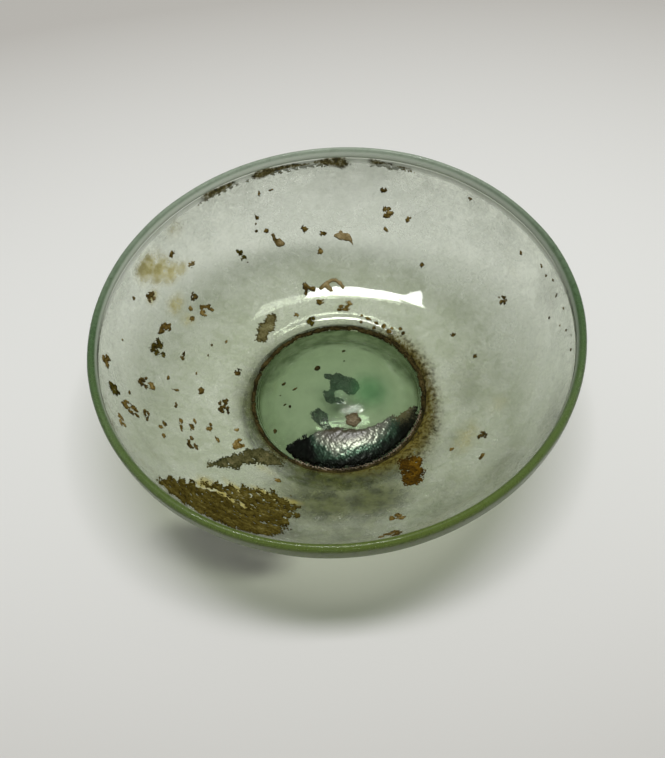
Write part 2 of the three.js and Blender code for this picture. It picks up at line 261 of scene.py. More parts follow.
def makeStudio():
    half = studio["floorSize"] / 2 * millimetre
    mesh = bpy.data.meshes.new("studio_floor")
    corners = [(-half, -half, 0), (half, -half, 0), (half, half, 0), (-half, half, 0)]
    mesh.from_pydata(corners, [], [(0, 1, 2, 3)])
    finish = Finish("studio_floor")
    place = finish.place()
    away = []
    for axis, brightest, fade in zip("XY", studio["brightest"], studio["fade"]):
        along = finish.node("ShaderNodeSeparateXYZ", None, {0: place}, output=axis)
        away.append((along - brightest * millimetre) * (1 / (fade * millimetre)))
    share = away[0] * away[0] + away[1] * away[1]
    colour = finish.blend(share, paint(studio["floorColour"]), paint(studio["farColour"]))
    paper = finish.principled(Base_Color=colour, Roughness=studio["floorRoughness"])
    mesh.materials.append(finish.done(paper))
    piece = bpy.data.objects.new("studio_floor", mesh)
    bpy.context.collection.objects.link(piece)

    world = bpy.data.worlds.new("studio_room")
    bpy.context.scene.world = world
    world.use_nodes = True
    room = world.node_tree.nodes["Background"]
    room.inputs["Color"].default_value = paint(studio["roomColour"])
    room.inputs["Strength"].default_value = studio["roomStrength"]

    # The ceiling lights everything softly. The panels only give glass and crust something to mirror.
    for name in lamps:
        lamp = addLamp(name)
        if name == "ceiling":
            lamp.visible_glossy = False
        else:
            lamp.visible_diffuse = False


makeStudio()
print("camera, floor and lamps made")


# Shapes


def ripple(points, wavelength, seed, layers=3):
    # A sum of sine waves along random directions. Each further layer is about half as long and half as
    # strong as the one before it. Most values lie between -1 and 1.
    draw = np.random.default_rng(seed)
    waves = 9
    total = np.zeros(points.shape[:-1])
    weight = 1.0
    for _ in range(layers):
        directions = draw.normal(size=(waves, points.shape[-1]))
        directions /= np.linalg.norm(directions, axis=1, keepdims=True)
        phases = draw.uniform(0, 2 * np.pi, waves)
        turns = points @ directions.T * (2 * np.pi / wavelength) + phases
        total += weight * np.sin(turns).sum(axis=-1) / math.sqrt(waves)
        wavelength /= 2.1
        weight *= 0.55
    return total


def smoothStep(value, low, high):
    # 0 below low, 1 above high, and 3t^2 - 2t^3 between them.
    t = np.clip((value - low) / (high - low), 0, 1)
    return t * t * (3 - 2 * t)


def within(value, start, full, fall, end):
    # 0 before the start and after the end, 1 from full to fall.
    return smoothStep(value, start, full) * (1 - smoothStep(value, fall, end))


def roughness(places, seed, layers, *sizes):
    # Ripples of several sizes together, each with its strength and its wavelength.
    ripples = [strength * ripple(places, size, seed + i, layers) for i, (strength, size) in enumerate(sizes)]
    return sum(ripples)


def together(*parts):
    return np.stack(parts, axis=-1)


def curveThrough(points, perPoint):
    # A uniform Catmull-Rom curve, from the second point to the last but one.
    t = np.linspace(0, 1, perPoint, endpoint=False)[:, None]
    runs = []
    for before, start, end, after in zip(points, points[1:], points[2:], points[3:]):
        leave = (end - before) / 2
        arrive = (after - start) / 2
        cubic = (2 * start - 2 * end + leave + arrive) * t**3
        square = (3 * end - 3 * start - 2 * leave - arrive) * t**2
        runs.append(cubic + square + leave * t + start)
    return np.vstack(runs)


def splineThrough(points, count):
    # The curve from the first point to the last, at even distances along it.
    points = np.asarray(points, float)
    dense = np.vstack([curveThrough(np.vstack([points[:1], points, points[-1:]]), 60), points[-1:]])
    lengths = np.append(0, np.cumsum(np.linalg.norm(np.diff(dense, axis=0), axis=1)))
    even = np.linspace(0, lengths[-1], count)
    return together(*(np.interp(even, lengths, along) for along in dense.T))


def closedSpline(points, perPoint):
    ring = np.asarray(points, float)
    return curveThrough(np.vstack([ring[-1:], ring, ring[:2]]), perPoint)


def slopeOf(line):
    slope = np.gradient(line, axis=0)
    return slope / np.linalg.norm(slope, axis=1, keepdims=True)


def lengthOf(line):
    return np.linalg.norm(np.diff(line, axis=0), axis=1).sum()


def beside(at, places, line, slope, lift):
    # Points that lie lift to the left of a line (radius, height), whose own points are given at places.
    radius, height = (np.interp(at, places, line[:, i]) for i in (0, 1))
    out, up = (np.interp(at, places, slope[:, i]) for i in (0, 1))
    return together(radius - up * lift, height + out * lift)


def arc(middle, halfWidth, halfHeight, start, end, steps):
    # Points on an ellipse, from one angle in radians to another.
    angles = np.linspace(start, end, steps + 1)
    return together(middle[0] + halfWidth * np.cos(angles), middle[1] + halfHeight * np.sin(angles))


def addPiece(name, mesh, finish, replaced):
    mesh.materials.append(finish)
    mesh.shade_smooth()
    piece = bpy.data.objects.new(name, mesh)
    bpy.context.collection.objects.link(piece)
    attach(piece, "root")
    if replaced:
        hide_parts(*replaced)
    return piece


def addAttribute(mesh, name, values):
    values = np.ascontiguousarray(values, dtype=np.float32)
    vector = values.ndim == 2
    layer = mesh.attributes.new(name, "FLOAT_VECTOR" if vector else "FLOAT", "POINT")
    layer.data.foreach_set("vector" if vector else "value", values.ravel())


def pointsOf(mesh):
    flat = np.empty(len(mesh.vertices) * 3, dtype=np.float32)
    mesh.vertices.foreach_get("co", flat)
    return flat.reshape(-1, 3)


# The bowl's own line, the same as in the model

bowl = {
    "rimRadius": 100.0,
    "height": 65.0,
    "rimTilt": 2.1,  # how far the lip rises towards +X
    "collarWidth": 3.8,
    "collarHeight": 7.4,
    "lipThickness": 2.2,
    "lipDepth": 4.0,
    "flapThickness": 1.25,
    "flapTurnIn": 0.35,
    "rimWall": 1.5,
    "footWall": 2.4,
    "footRadius": 43.5,
    "footWidth": 8.2,
    "footHeight": 8.0,
    "footTube": 1.6,
    "footWear": 0.5,
    "grooveShift": 1.3,
    "grooveWidth": 1.6,
    "neckOut": 0.6,  # where the wall leaves the foot, as a share of the way from the groove to its edge
    "floorCrown": 18.6,
    "floorThickness": 2.0,
    "floorCurve": 2.8,
    "seam": 0.02,
    "modelSeam": 0.3,
}

rimInside = bowl["rimRadius"] - bowl["collarWidth"]
foldInside = rimInside + bowl["rimWall"]
foldOutside = bowl["rimRadius"] - bowl["flapThickness"]
collarSeam = bowl["height"] - bowl["lipDepth"]
flapBottom = bowl["height"] - bowl["collarHeight"]
footHalfWidth = bowl["footWidth"] / 2
footMiddle = (bowl["footRadius"] - footHalfWidth, bowl["footHeight"] / 2)
footHalfHeight = bowl["footHeight"] / 2 + bowl["footWear"]
grooveRadius = footMiddle[0] - bowl["grooveShift"]
grooveInside = grooveRadius - bowl["grooveWidth"] / 2
grooveOutside = grooveRadius + bowl["grooveWidth"] / 2
wallSeat = bowl["footHeight"] + bowl["modelSeam"]
floorEdge = grooveInside - bowl["modelSeam"]
neckRadius = grooveOutside + bowl["neckOut"] * (bowl["footRadius"] - grooveOutside)

# the wall's inner face, as shares of the way out and up
wallFaceShares = [
    (0, 0), (0.012, 0.03), (0.045, 0.055), (0.106, 0.072), (0.176, 0.086), (0.264, 0.11),
    (0.368, 0.156), (0.543, 0.265), (0.717, 0.423), (0.857, 0.608), (0.951, 0.802), (0.991, 0.945),
    (1, 1),
]
wallFace = [
    (grooveOutside + (rimInside - grooveOutside) * out, wallSeat + (collarSeam - wallSeat) * up)
    for out, up in wallFaceShares
]
wallLine = splineThrough(wallFace, 1200)
wallLength = lengthOf(wallLine)
wallSlope = slopeOf(wallLine)
wallShares = np.linspace(0, 1, len(wallLine))


def overWall(share, lift):
    # Radius and height of a point that lies lift inside the bowl from its inner face, share of the way up.
    return beside(share, wallShares, wallLine, wallSlope, lift)


def wallRadius(share):
    return np.interp(share, wallShares, wallLine[:, 0])


def wallThickness(share):
    return bowl["footWall"] + (bowl["rimWall"] - bowl["footWall"]) * share


seatHalfWidth = footHalfWidth + bowl["modelSeam"]
seatHalfHeight = footHalfHeight + bowl["modelSeam"]
seatStart = math.acos((floorEdge - footMiddle[0]) / seatHalfWidth)
floorFall = bowl["floorCrown"] - footMiddle[1] - seatHalfHeight * math.sin(seatStart)


def overFloor(radius, lift):
    # The floor falls from its crown with a power of the radius. A negative lift goes through it.
    share = radius / floorEdge
    height = bowl["floorCrown"] - floorFall * share ** bowl["floorCurve"]
    slope = -floorFall * bowl["floorCurve"] * share ** (bowl["floorCurve"] - 1) / floorEdge
    length = np.hypot(1, slope)
    return together(radius - slope / length * lift, height + lift / length)


def lean(points):
    # Heights are lifted or lowered with x, most at the lip and not at all at the foot.
    share = points[..., 2] / bowl["height"]
    points[..., 2] += bowl["rimTilt"] * points[..., 0] / bowl["rimRadius"] * share**2
    return points


def around(section, azimuth):
    # Section points (radius, height) turned to an azimuth in radians.
    radius, height = section[..., 0], section[..., 1]
    return together(radius * np.cos(azimuth), radius * np.sin(azimuth), height)


def ringFaces(rows, columns, closed):
    # Four-sided faces between rings of points. A closed grid joins its last ring to the first.
    i, j = np.meshgrid(np.arange(rows if closed else rows - 1), np.arange(columns), indexing="ij")
    nextI, nextJ = (i + 1) % rows, (j + 1) % columns
    corners = (i * columns + j, i * columns + nextJ, nextI * columns + nextJ, nextI * columns + j)
    return together(*corners).reshape(-1, 4)


def meshFrom(name, points, *faces):
    mesh = bpy.data.meshes.new(name)
    allFaces = [face for some in faces for face in some.tolist()]
    mesh.from_pydata((points.reshape(-1, 3) * millimetre).tolist(), [], allFaces)
    mesh.update()
    return mesh


def turned(name, section, turns, change=None, poles=False):
    # A section turned about the axis. It runs up the outside and down the inside and is closed on itself,
    # or, with poles, starts and ends on the axis. change(line, places) moves the points before.
    azimuth = np.linspace(0, 2 * np.pi, turns, endpoint=False)[None, :]
    line = np.repeat(section[:, None, :], turns, axis=1)
    if change:
        change(line, around(line, azimuth))
    points = lean(around(line, azimuth))
    if not poles:
        return meshFrom(name, points, ringFaces(len(section), turns, True))
    body = points[1:-1]
    ends = np.array([[0, 0, section[0, 1]], [0, 0, section[-1, 1]]])
    first = body.size // 3
    top = (len(body) - 1) * turns
    j = np.arange(turns)
    nextJ = (j + 1) % turns
    under = together(np.full(turns, first), nextJ, j)
    over = together(np.full(turns, first + 1), top + j, top + nextJ)
    allPoints = np.vstack([body.reshape(-1, 3), ends])
    return meshFrom(name, allPoints, ringFaces(len(body), turns, False), under, over)


# Glass

glass = {
    # density and colour of the glass, what one surface lets through to the floor, face on and at a glancing
    # angle, refraction, how much the haze covers, its colour, and whether dirt and painted light and shade
    # cover it
    "wall_glass": (130, (0.28, 0.42, 0.06), (0.9, 0.3), 1.5, 0.33, "e4e7dd", True),
    "collar_glass": (300, (0.3, 0.46, 0.1), (0.85, 0.5), 1.5, 0.47, None, False),
    # softer where the tube shows through the floor
    "foot_glass": (380, (0.34, 0.46, 0.12), (0.93, 0.65), 1.28, 0.22, "a9b59c", False),
    "floor_glass": (300, (0.22, 0.45, 0.1), (0.93, 0.6), 1.5, 0.022, "c9cdbf", True),
    "pontil_glass": (1300, (0.1, 0.5, 0.22), (0.6, 0.4), 1.5, 1.98, "05260c", False),
}

# the rim's haze with painted light and shade: darker on its near side, then left and right, paler on its far
# side, and a pale painted light on its inner face
rimHazeAndLight = {"round": ["5e6e2e", "4d6842", "a5b29e"], "inner": "eef6e6"}

glassNoise = {
    # wavelength, detail, roughness, distortion
    "streaks": (2.5, 4.0, 0.6),
    "clouds": (22.0, 5.0, 0.6),
    "wisps": (4.5, 8.0, 0.72, 1.2),
    "lumps": (1.4, 2.0, 0.5),
}

glassCovers = [
    # covers of dirt and stains on the glass, some of which also carry painted light or shade
    # attribute, dark and light colour, wavelength of its clouds, how much they break it up,
    # where it starts and is full, how much it covers at most
    # an olive film of dirt that is also painted shade on the near wall and round the groove
    ("film", ("2c3210", "505624"), 6, 0.42, 0, 1, 0.9),
    # a pale bloom, partly weathering and partly painted light on the far wall and its upper edge
    ("bloom", ("e2e8d8", "f2f6ea"), 9, 0.8, 0, 1, 0.85),
    # a darker green painted shade towards the floor's edge, with a faint mottled cover all over
    ("edge", ("4a5c3a", "6b7e58"), 5, 1.3, 0, 1, 0.9),
    ("stain", ("9c9040", "c4b866"), 4.2, 2.6, 0.1, 0.9, 0.85),
    ("dirt", ("2c2606", "7a6c28"), 1.9, 3.6, 0.15, 0.9, 0.96),
    ("green", ("2f6b3c", "4f8a55"), 5, 0.6, 0, 1, 0.5),
]


def addGlassCovers(finish, place, body):
    # A cover for each of dirt, stains, glass colour and painted light and shade, one over the other, where
    # the mesh's attribute says so.
    for attribute, (dark, light), wavelength, broken, low, high, most in glassCovers:
        crumbs = finish.noise(place, wavelength, 7.0, 0.68)
        amount = finish.attribute(attribute)
        share = finish.between(amount * ((crumbs - 0.5) * broken + 1), low, high)
        tint = finish.blend(finish.between(crumbs, 0.36, 0.64), paint(light), paint(dark))
        cover = finish.principled(Base_Color=tint, Roughness=0.8, Specular_IOR_Level=0.1)
        body = finish.mixShaders(share * most, body, cover)
    return body


def makeGlass(slot):
    # Clear glass that swallows light as it passes, under a thin broken haze. Lamps shine through it.
    density, tint, (face, edge), refraction, most, colour, takesCovers = glass[slot]
    finish = Finish(slot)
    place = finish.place()
    streaks = finish.noise(finish.attribute("grain", "Vector"), *glassNoise["streaks"])
    clouds, wisps, lumps = (finish.noise(place, *glassNoise[kind]) for kind in ("clouds", "wisps", "lumps"))
    crumpled = finish.bump(lumps * finish.attribute("crumple"), 1.0, 0.6)
    surface = finish.bump(streaks, 0.005, 0.4, crumpled)
    clear = finish.principled(
        Base_Color=paint("fafcf8"),
        Roughness=0.03,
        IOR=refraction,
        Transmission_Weight=1.0,
        Normal=surface,
    )
    if slot == "collar_glass":
        # the haze carries painted shade on the collar's near side and painted light on its far side and on
        # its inner face
        tone = finish.ramp(finish.attribute("pale") + (wisps - 0.5) * 0.25, rimHazeAndLight["round"])
        inner = finish.attribute("inner")
        tone = finish.blend(inner, tone, paint(rimHazeAndLight["inner"]))
        haze = finish.principled(Base_Color=tone, Roughness=0.35, Specular_IOR_Level=0.2, Normal=surface)
        share = finish.between(wisps + clouds * 0.3, 0.2, 0.75) * 0.3 + most + inner
    else:
        haze = finish.principled(Base_Color=paint(colour), Roughness=0.6, Normal=surface)
        share = finish.between(clouds * 0.7 + wisps + streaks * 0.3, 0.75, 1.3) * most
    body = finish.mixShaders(share, clear, haze)
    if takesCovers:
        body = addGlassCovers(finish, place, body)
    lit = finish.transparent((face, face * 1.01, face * 0.95, 1))
    grazed = finish.transparent((edge, edge * 1.04, edge * 0.84, 1))
    facing = finish.node("ShaderNodeLayerWeight", None, {"Blend": 0.5}, output="Facing")
    passing = finish.mixShaders(facing, lit, grazed)
    straight = finish.maths("MAXIMUM", finish.ray("Is Shadow Ray"), finish.ray("Is Diffuse Ray"))
    volume = {"Color": (*tint, 1.0), "Density": density}
    return finish.done(
        finish.mixShaders(straight, body, passing),
        finish.node("ShaderNodeVolumeAbsorption", None, volume),
    )


grainSizes = {
    # how fast the pattern changes across the striations, and how far it goes along them, in metres
    "glass": (9.0, 0.06),
    "wads": (3.0, 0.06),
    "earth": (1.0, 0.05),
}


def addGrain(mesh, kind):
    # Striations run round the bowl: the pattern's place changes fast across them and slowly along them.
    stretch, reach = grainSizes[kind]
    points = pointsOf(mesh)
    radius = np.hypot(points[:, 0], points[:, 1])
    azimuth = np.arctan2(points[:, 1], points[:, 0])
    across = (radius + points[:, 2]) * stretch
    addAttribute(mesh, "grain", together(reach * np.cos(azimuth), reach * np.sin(azimuth), across))
    return points


wall = {
    "turns": 620,
    "faceSteps": 105,
    "backSteps": 30,
    "neckShare": 0.08,
    # depth of the waves inside and outside, their wavelength, seed and layers, the shares they fade at
    "wave": 0.025,
    "backWave": 0.05,
    "ripple": (46.0, 3, 2),
    "waveEnds": (0.02, 0.2, 0.85, 0.96),
    # azimuth, share, half length, half height, strength
    # the film spots are an olive dirt film and painted shade, darkest on the near wall
    "film": [
        (262, 0.24, 30, 20, 0.9), (280, 0.24, 24, 19, 0.95), (270, 0.08, 22, 10, 0.9),
        (249, 0.15, 15.6, 9, 0.6), (300, 0.46, 30, 26, 0.42), (328, 0.241, 19.9, 13, 0.4),
        (317.5, 0.638, 26, 24, 0.34), (267.5, 0.518, 34, 28, 0.52), (331.5, 0.844, 21.9, 11.6, 0.35),
        (10.5, 0.817, 14.3, 9.4, 0.25), (356, 0.24, 26, 16, 0.4),
    ],
    "stain": [
        (149, 0.87, 9, 7, 0.85), (146.5, 0.8, 8, 6.5, 0.85), (144, 0.74, 7, 5, 0.8),
        (141, 0.71, 6.5, 4, 0.6), (154, 0.737, 4.5, 3, 0.7), (150, 0.6, 7, 5, 0.55),
        (151.5, 0.5, 5, 4.5, 0.45), (136, 0.92, 7, 6, 0.4), (229, 0.37, 9, 2.6, 0.75),
        (238, 0.29, 9, 2.4, 0.8), (247, 0.27, 6, 2.2, 0.6), (221, 0.5, 6, 6, 0.7),
        (228, 0.47, 9, 3.4, 0.95), (236, 0.45, 6, 3, 0.9), (225, 0.15, 10, 3, 0.35),
        (330, 0.3, 12, 7, 0.4), (345, 0.42, 8, 8, 0.3),
    ],
    # pale spots on the far wall, partly weathering and partly painted light
    "bloom": [
        (75, 0.5, 62, 11, 0.45), (85, 0.78, 80, 26, 0.4),
    ],
    # a soft olive film that is also painted shade, and dirt, that spread from the groove: azimuth, reach,
    # strength
    "fall": 1.6,  # power of their fading
    "ring": [
        (0, 9, 0.55), (45, 8, 0.5), (90, 5, 0.4), (135, 7, 0.5), (180, 10, 0.85), (215, 9, 0.75),
        (240, 14, 0.75), (262, 36, 0.92), (284, 36, 0.92), (310, 26, 0.75), (340, 13, 0.65),
        (360, 9, 0.55),
    ],
    "dirt": [
        (0, 7.5, 0.65), (15, 8, 0.65), (30, 8, 0.65), (45, 7, 0.65), (57, 4, 0.5), (68, 2.2, 0.35),
        (100, 2, 0.25), (150, 2, 0.25), (180, 2.5, 0.35), (205, 3.5, 0.4), (225, 6.5, 0.5),
        (240, 4, 0.4), (262, 5, 0.5), (280, 8, 0.55), (295, 10, 0.65), (312, 13, 0.8), (328, 12, 0.75),
        (345, 9, 0.7), (360, 7.5, 0.75),
    ],
    "dirtStrength": 1.3,
    # the upper edge on the far side: where a pale band of painted light starts and is full, and its
    # strength, and the soil in front of the fold
    "lipLight": (0.955, 0.975, 0.9),
    "lipDirt": {
        "spans": [(64.0, 79.0), (81.0, 112.0), (113.0, 127.0)],
        "fade": 4.0,
        "middle": 0.977,
        "sway": 0.005,
        "swayRipple": (17.0, 89, 2),
        "half": 0.034,
        "halfRipple": (24.0, 88, 3),
    },
}


def spotsOf(stains, azimuth, share):
    # The strongest of some soft oval spots on the wall.
    total = np.zeros(np.broadcast(azimuth, share).shape)
    radius = wallRadius(share)
    for middle, height, halfLength, halfHeight, strength in stains:
        turn = np.angle(np.exp(1j * (azimuth - math.radians(middle))))
        across = turn * radius / halfLength
        along = (share - height) * wallLength / halfHeight
        total = np.maximum(total, strength * np.exp(-(across**2 + along**2)))
    return total


def fromGroove(kind, azimuth, share):
    # A cover that fades with the distance from the groove, by its own reach and strength all round.
    turn, reach, strength = np.array(wall[kind]).T
    reach = np.interp(np.degrees(azimuth), turn, reach)
    strength = np.interp(np.degrees(azimuth), turn, strength)
    return strength * np.exp(-((share * wallLength / reach) ** wall["fall"]))


def dirtOfLip(azimuth, share):
    dirt = wall["lipDirt"]
    turn = np.degrees(azimuth)
    fade = dirt["fade"]
    along = sum(within(turn, start, start + fade, end - fade, end) for start, end in dirt["spans"])
    place = around(together(np.full(azimuth.shape, rimInside), np.zeros(azimuth.shape)), azimuth)
    half = dirt["half"] * (0.8 + 0.35 * ripple(place, *dirt["halfRipple"])).clip(0.2, None)
    middle = dirt["middle"] + dirt["sway"] * ripple(place, *dirt["swayRipple"])
    return along * (1 - ((share - middle) / half) ** 2).clip(0, None)


def makeWall():
    # The inner face runs down the section's last part, the outer face up its first part.
    faceShares = np.linspace(1, 0, wall["faceSteps"])
    backShares = np.linspace(wall["neckShare"], 1, wall["backSteps"])
    seat = bowl["footHeight"] + bowl["seam"]
    face = overWall(faceShares, 0)
    back = overWall(backShares, -wallThickness(backShares))
    back[-1] = (foldInside, collarSeam)
    under = np.array([[grooveOutside, seat], [neckRadius, seat]])
    section = np.vstack([under, back, face])
    shares = np.concatenate([[0, 0], backShares, faceShares])
    inner = np.arange(len(section)) >= len(under) + len(back)
    depth = np.where(inner, wall["wave"], wall["backWave"]) * within(shares, *wall["waveEnds"])

    def wave(line, places):
        line[..., 0] += depth[:, None] * ripple(places, *wall["ripple"])

    mesh = turned("bowl_wall_glass", section, wall["turns"], wave)
    addGrain(mesh, "glass")
    azimuth = np.linspace(0, 2 * np.pi, wall["turns"], endpoint=False)[None, :]
    up = shares[:, None]
    # painted light: a pale band along the far side's upper edge, in front of the shaded fold
    low, high, strength = wall["lipLight"]
    lip = strength * smoothStep(up, low, high) * smoothStep(np.sin(azimuth), -0.1, 0.4)
    dirt = wall["dirtStrength"] * fromGroove("dirt", azimuth, up)
    covers = {
        "film": np.maximum(spotsOf(wall["film"], azimuth, up), fromGroove("ring", azimuth, up)),
        "bloom": np.maximum(spotsOf(wall["bloom"], azimuth, up), lip),
        "stain": spotsOf(wall["stain"], azimuth, up),
        "dirt": np.maximum(dirt, dirtOfLip(azimuth, up)),
    }
    for kind, covered in covers.items():
        addAttribute(mesh, kind, (covered * inner[:, None]).ravel())
    return mesh


collar = {
    "turns": 480,
    "lipSteps": 26,
    "edgeSteps": 14,
    # how far the flap dips in, and the wavelength, seed and layers of the dips
    "dip": 0.12,
    "ripple": (60.0, 5, 2),
    # the pale painted light on the inner face ends this far from it
    "innerLightReach": 0.8,  # the inner face's haze ends this far from it
}


def makeCollar():
    # Round the flap's edge, over the lip, down the leg and back up through the fold.
    half = bowl["collarWidth"] / 2
    lipFoot = bowl["height"] - bowl["lipThickness"]
    flapHalf = bowl["flapThickness"] / 2
    edgeMiddle = (bowl["rimRadius"] - flapHalf - bowl["flapTurnIn"], flapBottom + flapHalf)
    foldHalf = (foldOutside - foldInside) / 2
    foldMiddle = (foldInside + foldHalf, lipFoot - foldHalf)
    leg = collarSeam + bowl["seam"]
    edge = arc(edgeMiddle, flapHalf, flapHalf, -np.pi, 0, collar["edgeSteps"])
    lip = arc((bowl["rimRadius"] - half, lipFoot), half, bowl["lipThickness"], 0, np.pi, collar["lipSteps"])
    # inside, the lip curves on down to the leg's end
    inside = lip[:, 0] < bowl["rimRadius"] - half
    lip[inside, 1] = leg + (bowl["height"] - leg) * (lip[inside, 1] - lipFoot) / bowl["lipThickness"]
    legEnd = np.array([[foldInside, leg]])
    fold = arc(foldMiddle, foldHalf, foldHalf, np.pi, 0, collar["edgeSteps"])
    section = np.vstack([edge, lip, legEnd, fold])
    free = smoothStep(section[:, 0], foldInside, foldOutside)[:, None]

    def dip(line, places):
        line[..., 0] -= collar["dip"] * free * (1 + ripple(places, *collar["ripple"])).clip(0, 2)

    mesh = turned("rim_collar_glass", section, collar["turns"], dip)
    points = addGrain(mesh, "glass")
    # painted light and shade: paler towards the far side, darker towards the near side, and pale painted
    # light on the inner face
    farness = np.sin(np.arctan2(points[:, 1], points[:, 0]))
    radius = np.hypot(points[:, 0], points[:, 1]) / millimetre
    innerLight = 1 - smoothStep(radius, rimInside, rimInside + collar["innerLightReach"])
    addAttribute(mesh, "pale", 0.5 * (1 + farness))
    addAttribute(mesh, "inner", innerLight * (0.6 + 0.4 * farness))
    return mesh


foot = {"turns": 300, "steps": 44, "hollowSteps": 26}


def footAngle(radius, halfWidth):
    return math.acos((radius - footMiddle[0]) / halfWidth)


def makeFoot():
    # A tube pressed flat above and worn flat below, open inwards at the groove.
    full = 2 * math.pi
    start = footAngle(grooveInside, footHalfWidth) - full
    end = footAngle(grooveOutside, footHalfWidth)
    outside = arc(footMiddle, footHalfWidth, footHalfHeight, start, end, foot["steps"])
    outside[:, 1] = outside[:, 1].clip(0, bowl["footHeight"])
    width, height = footHalfWidth - bowl["footTube"], footMiddle[1] - bowl["footTube"]
    start = footAngle(grooveOutside, width)
    end = footAngle(grooveInside, width) - full
    hollow = arc(footMiddle, width, height, start, end, foot["hollowSteps"])
    mesh = turned("foot_ring_glass", np.vstack([outside, hollow]), foot["turns"])
    addGrain(mesh, "glass")
    return mesh


floorDome = {
    "turns": 360,
    "steps": 90,
    "seatSteps": 8,
    "seatEnd": 151.0,
    # height of the waves, their wavelength, seed and layers, the radii they fade at
    "wave": 0.08,
    "ripple": (17.0, 8, 3),
    "waveEnd": (28.0, 35.0),
    # faint rings from the tool that pushed the floor up: height, distance, the radii they start at
    "ringWave": 0.012,
    "ringSpace": 2.4,
    "ringStart": (8.0, 14.0),
    # soft spots on the top: x, y, radius, strength
    "crumple": [(2.0, -6.0, 3.4, 1.0), (4.5, -13.0, 6.5, 0.22), (5.0, -20.0, 6.0, 0.25)],
    "green": [(0.5, -3.0, 10.0, 0.3), (13.5, -4.0, 9.0, 0.85), (-7.0, -16.0, 6.0, 0.15)],
    # the edge's cover, painted shade that darkens towards the edge: least on the near side, shares of the
    # radius it starts and is full at, least of all
    "edgeShadeNear": 0.25,
    "edgeShadeStart": (0.52, 0.88),
    "edgeShadeLeast": 0.16,
}


def makeFloor():
    # Up the underside from the axis, round the seat at the foot and back to the axis over the top.
    seatEnd = math.radians(floorDome["seatEnd"])
    seat = arc(footMiddle, seatHalfWidth, seatHalfHeight, seatEnd, seatStart, floorDome["seatSteps"])
    shares = np.linspace(0, 1, floorDome["steps"], endpoint=False)
    under = overFloor(seat[0, 0] * shares, 0)
    slope = np.gradient(under[:, 1], under[:, 0])
    under[:, 1] -= bowl["floorThickness"] * np.hypot(1, slope)
    upper = overFloor(floorEdge * shares, 0)[::-1]
    section = np.vstack([under, seat, upper])
    fade = (1 - smoothStep(section[:, 0], *floorDome["waveEnd"]))[:, None]

    def wave(line, places):
        rings = np.sin(line[..., 0] * 2 * np.pi / floorDome["ringSpace"])
        start = smoothStep(line[..., 0], *floorDome["ringStart"])
        line[..., 1] += floorDome["wave"] * fade * ripple(places, *floorDome["ripple"])
        line[..., 1] += floorDome["ringWave"] * rings * fade * start

    mesh = turned("floor_dome_glass", section, floorDome["turns"], wave, poles=True)
    points = addGrain(mesh, "glass") / millimetre
    for kind in ("crumple", "green"):
        total = np.zeros(len(points))
        for x, y, radius, strength in floorDome[kind]:
            away = np.hypot(points[:, 0] - x, points[:, 1] - y) / radius
            total = np.maximum(total, strength * np.exp(-(away**2)))
        addAttribute(mesh, kind, total)
    # painted shade: darker towards the floor's edge, most on the far side, and faint all over
    reach = np.hypot(points[:, 0], points[:, 1])
    near = floorDome["edgeShadeNear"]
    far = near + (1 - near) * (points[:, 1] / np.maximum(reach, 1)).clip(0, 1)
    edge = far * smoothStep(reach / floorEdge, *floorDome["edgeShadeStart"])
    addAttribute(mesh, "edge", edge.clip(floorDome["edgeShadeLeast"], None))
    return mesh


def makeGlassPieces():
    for node, slot, make in (
        ("bowl_wall", "wall_glass", makeWall),
        ("rim_collar", "collar_glass", makeCollar),
        ("foot_ring", "foot_glass", makeFoot),
        ("floor_dome", "floor_glass", makeFloor),
    ):
        addPiece(node + "_glass", make(), makeGlass(slot), [node])


makeGlassPieces()
print("glass made")


# Crusts of earth

earthGap = 0.03  # keeps a crust clear of the glass
fallOff = 1.8  # power with which a crust thins out from its middle
leastShare = 0.06  # of a crust's thickness, left at its edge
reliefSize = 2.4  # wavelength of the bumps on a crust

# the corners of a grid's cells in a ring, and the neighbours of the cells with the corners towards them
cellCorners = [np.s_[:-1, :-1], np.s_[1:, :-1], np.s_[1:, 1:], np.s_[:-1, 1:]]
cellSides = [
    (np.s_[:-2, 1:-1], 0, 3),
    (np.s_[2:, 1:-1], 2, 1),
    (np.s_[1:-1, :-2], 1, 0),
    (np.s_[1:-1, 2:], 3, 2),
]


